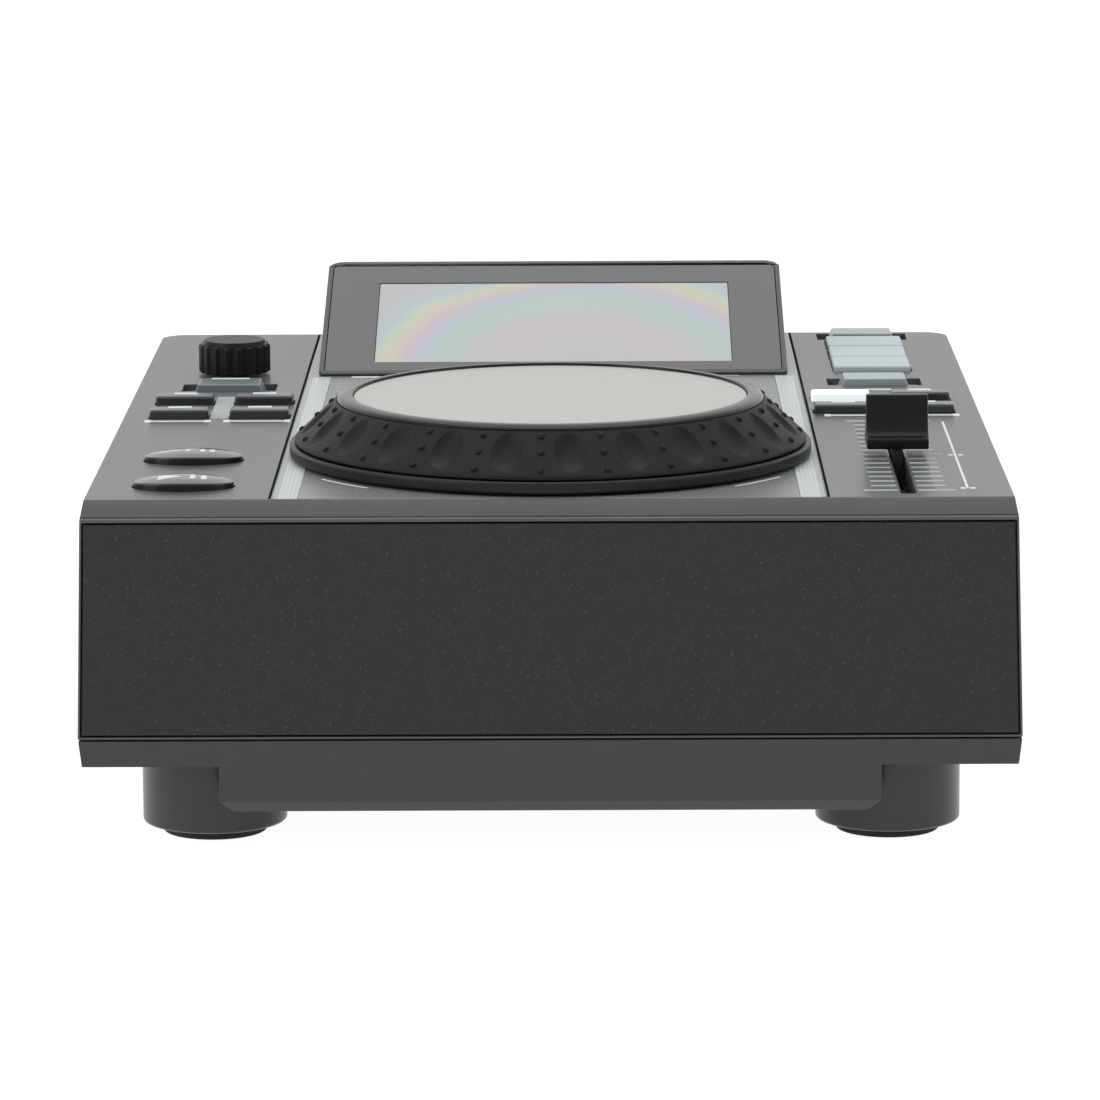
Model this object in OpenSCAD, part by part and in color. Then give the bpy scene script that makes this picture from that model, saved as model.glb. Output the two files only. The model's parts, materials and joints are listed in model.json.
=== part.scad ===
// Tabletop media player deck with a jog wheel, a pitch fader and a tilted screen.
// Frame: X to the right, Y to the back, Z up. The origin lies on the table, under the
// middle of the case. All sizes are in millimetres.

/* [Case] */
// Width of the case at the foot of its side walls
case_w = 222.2; // [210:0.2:240]
// Depth of the case, front face to rear face
case_d = 278; // [270:1:300]
// Height of the upper shell, its lower edge to the deck
shell_h = 56.6; // [50:0.2:75]
// How far each side wall leans in between its foot and the shoulder
side_draft = 1.35; // [0.5:0.05:2]
// Width and height of the slanted edge along the front and back of the deck
bevel = 4.3; // [2:0.1:5]
// How far the deck's side edge is drawn in over the height of that slanted edge
shoulder_in = 0.75; // [0.3:0.05:1.5]
// Radius of the rear corners, seen from above
corner_r = 7; // [3:0.5:12]
// Thickness of the deck skin of the upper shell
roof_t = 4.5; // [4:0.1:6]
// Least thickness of the side and rear walls
wall_t = 3; // [2:0.1:3.5]
// Shadow gap between the upper shell and the base
seam = 0.4; // [0.2:0.1:1]

/* [Base] */
// Height of the base's rim
rim_h = 6.3; // [5:0.1:8]
// Thickness of the base's floor
floor_t = 2.5; // [2:0.1:3.5]
// How far the belly hangs below the rim
belly_drop = 11.5; // [6:0.5:12]
// Width of the belly at the front and rear edge
belly_w = 156; // [140:1:160]
// Width of the belly between the feet
belly_mid_w = 120; // [100:1:124]
// Depth of the wide bar at each end of the belly
belly_bar_d = 12.5; // [8:0.5:13]
// Chamfer along the belly's lower edges
belly_chamfer = 3; // [1:0.5:4]
// Height of a tongue of the base inside the shell
tongue_h = 2; // [1:0.1:2.4]
// Thickness of that tongue
tongue_t = 1.6; // [1:0.1:2]

/* [Feet] */
// Radius of a foot
foot_r = 17.35; // [14:0.05:18]
// Height of a foot below the rim
foot_h = 19.7; // [17:0.1:24]
// Distance of a foot from the middle plane
foot_x = 81; // [79:0.5:86]
// Distance of a foot's axis from the nearer end of the case
foot_end = 32.3; // [32:0.1:40]
// Radius of a rubber pad
pad_r = 12.5; // [8:0.1:13]
// How far a pad stands below its foot
pad_proud = 2.5; // [1:0.1:4]
// How deep a pad sits in its foot
pad_sunk = 1.5; // [1:0.1:2]

/* [Front panel] */
// Width of the shell's rim left and right of the panel
panel_strip = 0.55; // [0.4:0.05:1.5]
// Shadow gap round the panel
panel_gap = 0.4; // [0.2:0.05:0.8]
// Thickness of the panel
panel_t = 2.5; // [2:0.1:3]

/* [Centre deck] */
// Width of the plate in the middle of the deck
deck_w = 130.4; // [129.2:0.2:130.8]
// Thickness of that plate
deck_t = 2.2; // [1.8:0.1:2.4]
// Width of the groove along each side of the plate
groove = 0.6; // [0.3:0.1:0.7]
// Width of a light strip let into the plate
strip_w = 6; // [3:0.5:7]
// Thickness of a light strip
strip_t = 0.4; // [0.2:0.05:0.8]
// Distance of a strip's middle from the plate's edge
strip_in = 3.3; // [3.1:0.1:4.5]

/* [Screen] */
// Width of the screen housing
screen_w = 124.8; // [120:0.2:126]
// Length of the screen face along its slope
screen_l = 76; // [74:0.5:76]
// Tilt of the screen face, in degrees
screen_tilt = 15.15; // [12:0.05:20]
// Distance of the housing's front edge from the rear face of the case
screen_depth = 82.8; // [81:0.1:84]
// Height of the housing at its front edge
screen_lip = 0.9; // [0.6:0.1:2]
// Width of the housing's edge round the bezel
screen_rim = 1.4; // [1:0.1:3]
// Radius of the screen face's upper corners
screen_corner = 4.5; // [3.5:0.1:6]
// Radius of its lower corners
screen_toe = 2; // [1:0.1:3]
// Thickness of the black bezel
bezel_t = 1.2; // [1:0.1:1.3]
// Width of the display's lit area
lcd_w = 95.8; // [88:0.1:98]
// Height of the display's lit area, along the slope
lcd_h = 54.4; // [48:0.1:56]
// Distance of the lit area from the housing's front edge, along the slope
lcd_y = 7.25; // [6:0.05:9]
// Border of the display module round its lit area
lcd_border = 3.6; // [2:0.1:4]
// Thickness of the display module
lcd_t = 4.4; // [3:0.1:5]

/* [Jog wheel] */
// Outer radius of the wheel's skirt
jog_r = 63.8; // [58:0.1:64]
// Distance of the wheel's axis from the front face of the case
jog_front = 68.8; // [68:0.1:72]
// Radius of the metal disc on top
disc_r = 48.1; // [40:0.1:50]
// Thickness of that disc
disc_t = 1.2; // [0.8:0.1:1.5]
// Width of the glossy ring round the disc
ring_w = 4.2; // [3:0.1:5]
// Height of the ring's top above the deck
jog_h = 15.1; // [14.5:0.1:20]
// Height of the skirt's upper edge above the deck
skirt_top = 3.5; // [3.2:0.1:5]
// Running gap between the skirt and the deck
jog_gap = 0.5; // [0.3:0.1:1.2]
// Number of oval finger dimples
dimples = 24; // [18:1:30]
// Angle from the front of the wheel to the nearest dimple, in degrees
dimple_turn = 5; // [0:0.5:10]
// Depth of a finger dimple
dimple_depth = 1.0; // [0.5:0.1:1.4]
// Radius of the wheel's spindle
spindle_r = 4; // [3:0.1:5]
// Running clearance between the spindle and its bush
spindle_clear = 0.04; // [0.02:0.01:0.08]
// Wall of the spindle's bush
bush_wall = 3; // [2:0.1:4]
// Length of the bearing tube
bearing_l = 23.3; // [18:0.1:26]
// Radius of the code wheel under the bearing
code_r = 22; // [16:0.5:26]

/* [Keys] */
// Clearance round every key in its hole
key_gap = 0.3; // [0.2:0.05:0.5]
// Travel of the small keys
key_travel = 0.8; // [0.4:0.1:1]
// Travel of the two oval transport keys
oval_travel = 1.2; // [0.6:0.1:1.4]
// Length of an oval key, left to right
oval_w = 24; // [18:0.5:26]
// Depth of an oval key, front to back
oval_d = 15; // [12:0.5:18]
// Height of an oval key above the deck
oval_h = 2.3; // [1.5:0.1:3]
// Width of a small key
key_w = 15; // [12:0.1:15.2]
// Depth of a small key
key_d = 6.5; // [5:0.1:9]
// Height of a small key above the deck
key_h = 2.2; // [1.4:0.1:3]
// Width of a saddle key in its pocket
saddle_w = 24; // [20:0.2:26]
// Depth of a saddle key
saddle_d = 11.4; // [9:0.1:12]
// Height of a saddle key above the deck
saddle_h = 1.7; // [1.4:0.1:2.5]
// Width of a white pad key
pad_w = 20.6; // [16:0.1:22]
// Depth of a white pad key
pad_d = 17.6; // [14:0.1:18]
// Height of a white pad key above the deck
pad_h = 1.4; // [1:0.1:2]

/* [Pitch fader] */
// Travel of the fader, end to end
fader_travel = 100; // [60:1:100]
// Width of the slot in the deck
slot_w = 3.5; // [3:0.1:4.5]
// Thickness of the lever in the slot
lever_t = 2.6; // [1.5:0.1:2.8]
// Width of the lever along the slot
lever_w = 8; // [6:0.1:9]
// Width of the fader cap, left to right
cap_w = 15; // [12:0.1:18]
// Length of the fader cap along its travel
cap_l = 13.4; // [11:0.1:16]
// Height of the fader cap
cap_h = 12.6; // [10:0.1:15]
// Gap between the cap and the deck
cap_gap = 2.3; // [1.5:0.1:3]

/* [Browse knob] */
// Radius of the knob
knob_r = 9.5; // [7:0.1:10]
// Height of the knob
knob_h = 8.6; // [7:0.1:12]
// Gap between the knob and the deck
knob_gap = 0.7; // [0.6:0.1:1.5]
// Travel of the knob when it is pushed
knob_travel = 0.5; // [0.3:0.1:0.5]
// Radius of the encoder's shaft
shaft_r = 3; // [2.5:0.1:3.2]

/* [Rear sockets] */
// Half the width of the recess for the sockets
recess_x = 88; // [86:1:90]
// Height of that recess
recess_h = 31; // [28:0.5:33]
// Depth of that recess
recess_d = 11.5; // [10.5:0.1:16]
// Radius of the outer sleeve of a phono socket
phono_r = 4.15; // [4:0.05:4.3]
// Length of that sleeve outside the panel
phono_l = 8.5; // [7:0.1:9]
// Angle that the power rocker turns through, in degrees
rocker_swing = 16; // [10:1:20]

/* [Hidden] */

$fn = 64;
eps = 0.01;
seat = 0.1;        // gap between two fixed pieces that rest on each other
slip = 0.05;       // radial play of a round peg in its hole

// Heights above the table
foot_z = pad_proud;
rim_z = foot_z + foot_h;
belly_z = rim_z - belly_drop;
floor_z = rim_z + floor_t;
rim_top = rim_z + rim_h;
shell_z = rim_top + seam;
deck_z = shell_z + shell_h;
shoulder_z = deck_z - bevel;
roof_z = deck_z - roof_t;

// Plan of the case
front_y = -case_d / 2;
rear_y = case_d / 2;
flat_y = rear_y - bevel;
front_wall = panel_t + seat + wall_t;
cavity_front = front_y + front_wall;
cavity_rear = rear_y - wall_t;
cavity_x = case_w / 2 - side_draft - wall_t;
rim_draft = 0.7;
foot_y = case_d / 2 - foot_end;

// Half the width of the shell's side wall at height z
function half_w(z) = case_w / 2 - side_draft * (z - shell_z) / (shoulder_z - shell_z);

// Posts that the base is screwed to, moulded into the side walls
post_r = 3.5;
post_x = cavity_x - 2.2;
post_clear = 0.3;
post_y = case_d / 2 - 13;
post_bore_r = 1.5;
boss_r = 5;
boss_h = 2.3;
post_z = floor_z + boss_h + seat;
screw_r = post_bore_r - slip;
head_r = 2.8;
head_h = 1.8;

// Centre deck
deck_cut = deck_t + seat;
seat_end = flat_y - 0.4;      // the plate's seat ends just behind the slanted edges
plate_end = seat_end - seat;
strip_x = deck_w / 2 - strip_in;
screen_y = rear_y - screen_depth;
strip_end = screen_y - 1;
stake_r = 2;
stake_x = 45;
stakes = [
    [stake_x, front_y + 16], [stake_x, jog_front + front_y + 58], [deck_w / 2 - 7.2, rear_y - 8]
];
hub_gap = 0.3;

// Screen
screen_z = deck_z + screen_lip;
screen_cos = cos(screen_tilt);
screen_sin = sin(screen_tilt);
screen_top_y = screen_y + screen_l * screen_cos;
screen_top_z = screen_z + screen_l * screen_sin;
screen_back_y = screen_top_y + 3.6;
brow_drop = 2.6;
brow_l = 3;
housing_t = 2;
hollow_y = screen_y + 21;
module_w = lcd_w + 2 * lcd_border;
module_h = lcd_h + 2 * lcd_border;
well_x = module_w / 2 + 1.5;
well_front = screen_y + 1.2;
well_rear = screen_y + 68;
glass_sunk = 0.3;
peg_r = 1.5;

// Jog wheel
jog_y = front_y + jog_front;
tube_r = spindle_r + spindle_clear + bush_wall + slip + 4;
flange_t = 1;
tube_top = deck_z - seat;
thrust_z = tube_top + flange_t;
carrier_z = thrust_z + 0.1;
skirt_z = deck_z + jog_gap;
skirt_t = 3.6;
web_t = 2.5;
web_z = deck_z + skirt_top - web_t;
ring_z = deck_z + jog_h;
ring_r = disc_r + 0.1 + ring_w;
ring_t = 1.4;
disc_top = ring_z - 0.6;
grip_foot_r = jog_r - 1.3;
grip_t = 4.2;
tube_bottom = tube_top - bearing_l;
base_t = 2.4;
base_r = 40;
clip_t = 0.8;
clip_gap = 0.2;
clip_z = tube_bottom - flange_t - clip_gap - clip_t;
code_t = 0.8;
code_hub_h = 2.4;
code_z = clip_z - 0.3 - code_hub_h;
sensor_gap = 0.5;

// Control boards and switches
board_t = 1.6;
board_top = roof_z - 11;
switch_h = 3.5;
actuator_h = 0.8;
actuator_r = 1.7;
flange_gap = 0.25;
key_flange_t = 1.3;
key_flange_w = 0.7;
stem_r = 1.8;
free_play = 0.15;
board_in = deck_w / 2 - 1.7;
board_out = cavity_x - 0.8;

// Each column of controls lies between the centre deck and a side wall
column_in = deck_w / 2;
column_x = (column_in + cavity_x) / 2;

// Gaps across a pair of small keys, from the centre deck to the side wall. They share
// what the two keys and their flanges leave free of the column.
left_gaps = [1, 4, 3.75];
right_gaps = [1.1, 4.2, 3.45];
pair_key = key_w + 2 * key_flange_w;
pair_free = cavity_x - column_in - 2 * pair_key;
function total(v, i = 0) = i < len(v) ? v[i] + total(v, i + 1) : 0;
function pair_inner(gaps) = column_in + pair_free * gaps[0] / total(gaps) + pair_key / 2;
function pair_outer(gaps) = cavity_x - pair_free * gaps[2] / total(gaps) - pair_key / 2;

// Places of the keys in the left column, counted from the front
left_x = [-pair_outer(left_gaps), -pair_inner(left_gaps)];
left_y = [front_y + 127.75, front_y + 150.55];
play_at = [-column_x - 0.825, front_y + 22.8];
cue_at = [play_at[0], play_at[1] + 37.5];
left_saddle_at = [-column_x + 1.075, front_y + 176.3];
knob_at = [-column_x + 0.975, left_saddle_at[1] + 24.5];

// Places of the right column: the pads and the key behind them are counted from the rear
pad_x = column_x - 0.775;
pad_pitch = pad_d + 1.7;
rear_saddle_at = [pad_x, rear_y - 13.2];
pad_first = rear_saddle_at[1] - saddle_d / 2 - 2.1 - pad_d / 2 - 2 * pad_pitch;
fader_at = [column_x - 1.475, front_y + 65];
slot_l = fader_travel + lever_w + 4;
fader_body_l = slot_l + 5.6;

// Gaps between the fader, two rows of small keys, the saddle key and the first pad. They
// share what these leave free of the column's length.
row_gaps = [4.7, 12.25, 19.05, 11.7];
row_key = key_d + 2 * key_flange_w;
row_saddle = saddle_d + 2 * key_flange_w;
row_start = fader_at[1] + fader_body_l / 2;
row_end = pad_first - pad_d / 2 - key_flange_w;
row_share = (row_end - row_start - 2 * row_key - row_saddle) / total(row_gaps);
right_x = [pair_inner(right_gaps), pair_outer(right_gaps)];
right_y = [
    row_start + row_share * row_gaps[0] + row_key / 2,
    row_start + row_share * (row_gaps[0] + row_gaps[1]) + row_key * 3 / 2
];
right_saddle_at = [column_x - 1.275, row_end - row_share * row_gaps[3] - row_saddle / 2];
pocket_drop = 1.6;
saddle_top_w = saddle_w * 2 / 3;
left_screw_y = [(play_at[1] + cue_at[1]) / 2, (left_saddle_at[1] + knob_at[1]) / 2 + 0.4];
right_screw_y = [front_y + 24, (right_y[0] + right_y[1]) / 2, pad_first + 2.25 * pad_pitch];
board_screw_r = 1.2;
board_boss_r = 2.6;

// Pitch fader
fader_body_w = 14;
fader_wall = 1.2;
carriage_l = lever_w + 2;
carriage_h = 4;
fader_bottom = board_top + 0.1;
fader_top = roof_z - seat;
cap_z = deck_z + cap_gap;
cap_bore = 7;
tip_w = 3;         // width of the lever's tip inside the cap
lip_h = 2.7;
ridge_l = 3.2;

// Browse knob and encoder
knob_z = deck_z + knob_gap;
encoder_w = 12;
encoder_h = 6.5;
bushing_r = shaft_r + 1.5;
bushing_top = deck_z - 1.5;
plunger_r = 4.2;
plunger_t = 1.2;
plunger_z = board_top + 1.8;
shaft_clear = 0.05;
knob_bore = 5;

// Rear sockets
recess_z = rim_top + 5;
recess_mid = recess_z + recess_h / 2;
panel_skin = 2;
panel_face = cavity_rear + wall_t - recess_d;
panel_back = panel_face - panel_skin;
inlet_x = -66;
switch_x = -38;
phono_x = [-12, 6, 24];
usb_a_x = 46;
usb_b_x = 68;
inlet_size = [28, 20.5];
inlet_mouth = [24, 16.5];
inlet_depth = 16;
rocker_size = [9, 15];
switch_size = [13, 19.5];
rocker_y = panel_face - 1;
pivot_r = 1.2;
pivot_l = rocker_size[0] / 2 + 1.2;

// Boards on the base
standoff_h = 6;
standoff_r = 3;
main_z = floor_z + standoff_h + seat;
main_x = [-36, cavity_x - 13];
main_y = [10, panel_back - 1.5];
supply_x = [-main_x[1], -40];
supply_y = main_y;
board_hole_in = 4.5;

// Heads of the screws
small_head_r = 2.3;
small_head_h = 1.5;
small_head_z = main_z + board_t + seat;
slot_length = 2.8;
slot_width = 0.7;
slot_depth = 0.9;

// Outline of the case at one height: square front corners, round rear corners
module outline(w, d) {
    hull() {
        translate([-w / 2, -d / 2]) square([w, d / 2]);
        for (s = [-1, 1]) translate([s * (w / 2 - corner_r), d / 2 - corner_r]) circle(corner_r, $fn = 32);
    }
}

// A thin slice of that outline, its lower face at height z
module slice(w, d, z) {
    translate([0, 0, z]) linear_extrude(eps) outline(w, d);
}

// The outer form of the upper shell
module shell_form() {
    hull() {
        slice(case_w, case_d, shell_z);
        slice(2 * half_w(shoulder_z), case_d, shoulder_z);
        slice(2 * (half_w(shoulder_z) - shoulder_in), case_d - 2 * bevel, deck_z - eps);
    }
}

// A block from its low corner to its high corner
module block(low, high) {
    translate(low) cube(high - low);
}

// A round bar along Z between two heights
module rod(at, r, z0, z1) {
    translate([at[0], at[1], z0]) cylinder(r = r, h = z1 - z0);
}

// Flat oval with half axes a and b
module oval(a, b) {
    polygon([for (i = [0 : 47]) [a * cos(i * 7.5), b * sin(i * 7.5)]]);
}

// Rectangle with round corners, centred
module round_rect(w, d, r) {
    union() {
        square([w - 2 * r, d], center = true);
        square([w, d - 2 * r], center = true);
        for (x = [-1, 1], y = [-1, 1]) translate([x * (w / 2 - r), y * (d / 2 - r)]) circle(r, $fn = 32);
    }
}

// Puts its children on the screen's slope: x right, y up the slope, z out of the face
module on_slope() {
    translate([0, screen_y, screen_z]) rotate([screen_tilt, 0, 0]) children();
}

// The front face's outline between two heights, drawn in by an inset at the sides
module front_face(z0, z1, inset) {
    polygon([
        [-half_w(z0) + inset, z0], [half_w(z0) - inset, z0],
        [half_w(z1) - inset, z1], [-half_w(z1) + inset, z1]
    ]);
}

// Places of all four posts or feet
module at_corners(x, y) {
    for (sx = [-1, 1], sy = [-1, 1]) translate([sx * x, sy * y, 0]) children();
}

/* Case */

// Hole through the deck skin for one key
module key_hole(at, w, d) {
    translate([at[0] - w / 2 - key_gap, at[1] - d / 2 - key_gap, roof_z - 1])
        cube([w + 2 * key_gap, d + 2 * key_gap, roof_t + 2]);
}

module oval_hole(at) {
    translate([at[0], at[1], roof_z - 1])
        linear_extrude(roof_t + 2) oval(oval_w / 2 + key_gap, oval_d / 2 + key_gap);
}

module top_holes() {
    oval_hole(play_at);
    oval_hole(cue_at);
    for (x = left_x, y = left_y) key_hole([x, y], key_w, key_d);
    for (x = right_x, y = right_y) key_hole([x, y], key_w, key_d);
    for (at = [left_saddle_at, right_saddle_at, rear_saddle_at]) key_hole(at, saddle_w, saddle_d);
    for (i = [0 : 2]) key_hole([pad_x, pad_first + i * pad_pitch], pad_w, pad_d);
    rod(knob_at, bushing_r + seat, roof_z - 1, deck_z + 1);
    block([fader_at[0] - slot_w / 2, fader_at[1] - slot_l / 2, roof_z - 1],
          [fader_at[0] + slot_w / 2, fader_at[1] + slot_l / 2, deck_z + 1]);
}

module top_shell() {
    panel_low = shell_z + panel_strip;
    panel_high = shoulder_z - panel_strip;
    color("dimgray") difference() {
        union() {
            difference() {
                shell_form();
                block([-cavity_x, cavity_front, shell_z - 1], [cavity_x, cavity_rear, roof_z]);
            }
            for (sx = [-1, 1], sy = [-1, 1])
                rod([sx * post_x, sy * post_y], post_r, post_z, roof_z + 1);
            for (p = concat(board_screws(-1), board_screws(1)))
                rod(p, board_boss_r, board_top + seat, roof_z + 1);
        }
        // seat of the centre deck, and the holes under it
        block([-deck_w / 2 - groove, -seat_end, deck_z - deck_cut],
              [deck_w / 2 + groove, seat_end, deck_z + 1]);
        rod([0, jog_y], tube_r + hub_gap, roof_z - 1, deck_z);
        block([-well_x, well_front, roof_z - 1], [well_x, well_rear, deck_z]);
        for (p = stakes, s = [-1, 1]) rod([s * p[0], p[1]], stake_r + slip, roof_z - 1, deck_z);
        top_holes();
        // seat of the front panel
        translate([0, front_y + panel_t + seat, 0]) rotate([90, 0, 0])
            linear_extrude(panel_t + 1) front_face(panel_low, panel_high, panel_strip);
        for (p = panel_pegs()) translate([p[0], cavity_front + 1, p[1]]) rotate([90, 0, 0])
            cylinder(r = stake_r + slip, h = front_wall);
        // window for the sockets
        block([-recess_x, cavity_rear - 1, recess_z], [recess_x, rear_y + 1, recess_z + recess_h]);
        // pilot holes: base screws from below, bearing screws under the deck
        for (sx = [-1, 1], sy = [-1, 1])
            rod([sx * post_x, sy * post_y], post_bore_r, post_z - 1, post_z + 14);
        for (a = [45 : 90 : 315])
            rod(base_screw_at(a), board_screw_r + slip, roof_z - 1, roof_z + 1.9);
        for (p = concat(board_screws(-1), board_screws(1)))
            rod(p, board_screw_r + slip, board_top, board_top + 8);
        for (p = screen_pegs()) rod(p, peg_r + slip, roof_z - 1, deck_z);
    }
}

// Places of the pegs under the screen housing: two beside the well, two in its rear wall
function screen_pegs() = [
    for (s = [-1, 1], p = [[well_x + 2.2, well_front + 15], [stake_x - 5, screen_back_y - 1.8]])
        [s * p[0], p[1]]
];

// Places of the pegs on the front panel's back, as [x, z]
function panel_pegs() = [for (x = [-90, 90], z = [shell_z + 12, shoulder_z - 12]) [x, z]];

// Places of the screws that hold the bearing base
function base_screw_at(a) = [(base_r - 5) * cos(a), jog_y + (base_r - 5) * sin(a)];

module centre_deck() {
    color("gray") difference() {
        union() {
            block([-deck_w / 2, -plate_end, deck_z - deck_t], [deck_w / 2, plate_end, deck_z]);
            for (p = stakes, s = [-1, 1])
                rod([s * p[0], p[1]], stake_r, roof_z, deck_z - deck_t + eps);
        }
        rod([0, jog_y], tube_r + hub_gap, roof_z - 1, deck_z + 1);
        block([-well_x, well_front, roof_z - 1], [well_x, well_rear, deck_z + 1]);
        for (p = screen_pegs()) rod(p, peg_r + slip, roof_z - 1, deck_z + 1);
        for (s = [-1, 1])
            block([s * strip_x - strip_w / 2 - seat, -plate_end - 1, deck_z - strip_t - seat],
                  [s * strip_x + strip_w / 2 + seat, strip_end + seat, deck_z + 1]);
    }
}

module side_strips() {
    color("gainsboro") for (s = [-1, 1])
        block([s * strip_x - strip_w / 2, -plate_end, deck_z - strip_t],
              [s * strip_x + strip_w / 2, strip_end, deck_z]);
}

module front_panel() {
    low = shell_z + panel_strip + panel_gap;
    high = shoulder_z - panel_strip - panel_gap;
    color("black") union() {
        translate([0, front_y + panel_t, 0]) rotate([90, 0, 0])
            linear_extrude(panel_t) front_face(low, high, panel_strip + panel_gap);
        for (p = panel_pegs()) translate([p[0], cavity_front, p[1]]) rotate([90, 0, 0])
            cylinder(r = stake_r, h = front_wall - panel_t + eps);
    }
}

// One bar of the belly with chamfered lower edges on the sides named in cut
module belly_bar(x, y0, y1, z0, z1, c) {
    intersection() {
        translate([0, y1, 0]) rotate([90, 0, 0]) linear_extrude(y1 - y0)
            polygon([[-x, z1], [-x, z0 + c], [-x + c, z0], [x - c, z0], [x, z0 + c], [x, z1]]);
        translate([-x - 1, 0, 0]) rotate([90, 0, 90]) linear_extrude(2 * x + 2)
            polygon([[y0, z1], [y0, z0 + c], [y0 + c, z0], [y1 - c, z0], [y1, z0 + c], [y1, z1]]);
    }
}

// The belly drawn in by an inset t at the walls, from z0 up to z1
module belly(t, z0, z1, c) {
    x = belly_w / 2 - t;
    xm = belly_mid_w / 2 - t;
    y = case_d / 2 - rim_draft - t;
    belly_bar(x, -y, -y + belly_bar_d - t, z0, z1, c);
    belly_bar(x, y - belly_bar_d + t, y, z0, z1, c);
    belly_bar(xm, -y, y, z0, z1, c);
}

module bottom_tray() {
    color("dimgray") difference() {
        union() {
            difference() {
                union() {
                    hull() {
                        slice(case_w - 0.2, case_d - 0.2, rim_top - eps);
                        slice(case_w - 0.2 - 2 * rim_draft, case_d - 2 * rim_draft, rim_z);
                    }
                    belly(0, belly_z, rim_z + 1, belly_chamfer);
                    block([-cavity_x + 0.3, cavity_front + 0.3, rim_top - 1],
                          [cavity_x - 0.3, cavity_rear - 0.3, rim_top + tongue_h]);
                }
                block([-cavity_x + 0.3 + tongue_t, cavity_front + 0.3 + tongue_t, floor_z],
                      [cavity_x - 0.3 - tongue_t, cavity_rear - 0.3 - tongue_t, rim_top + tongue_h + 1]);
                belly(floor_t, belly_z + floor_t, floor_z + 1, belly_chamfer);
            }
            at_corners(post_x, post_y) rod([0, 0], boss_r, rim_z, floor_z + boss_h);
            at_corners(foot_x, foot_y) rod([0, 0], boss_r, rim_z, floor_z + standoff_h);
            for (p = concat(board_holes(main_x, main_y), board_holes(supply_x, supply_y)))
                rod(p, standoff_r, standoff_foot(p), floor_z + standoff_h);
        }
        at_corners(post_x, post_y) rod([0, 0], post_r + post_clear, floor_z + boss_h, rim_top + tongue_h + 1);
        at_corners(post_x, post_y) rod([0, 0], post_bore_r + 0.1, rim_z - 1, post_z + 1);
        at_corners(post_x, post_y) rod([0, 0], head_r + 0.2, rim_z - 1, rim_z + head_h + 0.2);
        at_corners(foot_x, foot_y) rod([0, 0], post_bore_r, rim_z - 1, floor_z + standoff_h - 1);
        for (p = concat(board_holes(main_x, main_y), board_holes(supply_x, supply_y)))
            rod(p, board_screw_r + slip, floor_z + standoff_h - 5, floor_z + standoff_h + 1);
        // air slots under the boards
        for (i = [-4 : 4]) block([i * 10 - 1.25, 30, belly_z - 1], [i * 10 + 1.25, 60, floor_z]);
    }
}

// Holes of a board that spans the ranges xs and ys
function board_holes(xs, ys) = [
    for (x = [xs[0] + board_hole_in, xs[1] - board_hole_in])
        for (y = [ys[0] + board_hole_in, ys[1] - board_hole_in]) [x, y]
];

// A standoff over the hollow belly starts at the belly's floor
function standoff_foot(p) = abs(p[0]) < belly_mid_w / 2 - floor_t + standoff_r ? belly_z + 1 : rim_z + 1;

module foot(sx, sy) {
    color("black") difference() {
        rod([sx * foot_x, sy * foot_y], foot_r, foot_z, rim_z - seat);
        rod([sx * foot_x, sy * foot_y], pad_r + seat, foot_z - 1, foot_z + pad_sunk + seat);
        rod([sx * foot_x, sy * foot_y], head_r + 0.2, foot_z, foot_z + pad_sunk + 3);
        rod([sx * foot_x, sy * foot_y], post_bore_r + 0.1, foot_z, rim_z + 1);
    }
}

module foot_pads() {
    color("black") at_corners(foot_x, foot_y) rod([0, 0], pad_r, 0, foot_z + pad_sunk);
}

/* Screen */

// The two upper corners of the screen face, seen square on, drawn in by t and moved up by rise
module upper_corners(t, rise) {
    for (s = [-1, 1])
        translate([s * (screen_w / 2 - screen_corner), screen_l - screen_corner + rise])
            circle(screen_corner - t, $fn = 32);
}

// Outline of the screen face, seen square on and drawn in by t
module face_outline(t) {
    r = max(screen_toe - t, 0.3);
    hull() {
        upper_corners(t, 0);
        for (s = [-1, 1]) translate([s * (screen_w / 2 - t - r), t + r]) circle(r, $fn = 32);
    }
}

// The screen housing's outer form: its face, a round brow behind the face's upper edge, and
// walls straight down to the deck
module housing_form() {
    hull() {
        on_slope() translate([0, 0, -eps]) linear_extrude(eps) face_outline(0);
        for (a = [22.5 : 22.5 : 90])
            on_slope() translate([0, 0, -brow_drop * (1 - cos(a))]) linear_extrude(eps)
                upper_corners(0, brow_l * sin(a));
        translate([0, (screen_y + screen_back_y) / 2, deck_z + seat]) linear_extrude(eps)
            round_rect(screen_w, screen_back_y - screen_y, screen_toe);
    }
}

module screen_housing() {
    color("black") difference() {
        union() {
            for (p = screen_pegs()) rod(p, peg_r, roof_z, deck_z + 1);
            housing_form();
        }
        // hollow under the face
        translate([-screen_w / 2 + housing_t + screen_rim, 0, 0]) rotate([90, 0, 90])
            linear_extrude(screen_w - 2 * housing_t - 2 * screen_rim)
                polygon([
                    [hollow_y, deck_z - 1],
                    [hollow_y, screen_z + (hollow_y - screen_y) * tan(screen_tilt) - bezel_t - housing_t],
                    [screen_back_y - 3.5, screen_top_z - bezel_t - 3],
                    [screen_back_y - 3.5, deck_z - 1]
                ]);
        // rebate of the bezel, and the opening for the display
        on_slope() translate([0, 0, -bezel_t - seat]) linear_extrude(bezel_t + 3)
            face_outline(screen_rim);
        on_slope() block([-module_w / 2 - 0.3, lcd_y - lcd_border - 0.3, -30],
                         [module_w / 2 + 0.3, lcd_y + lcd_h + lcd_border + 0.3, 1]);
    }
}

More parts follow.
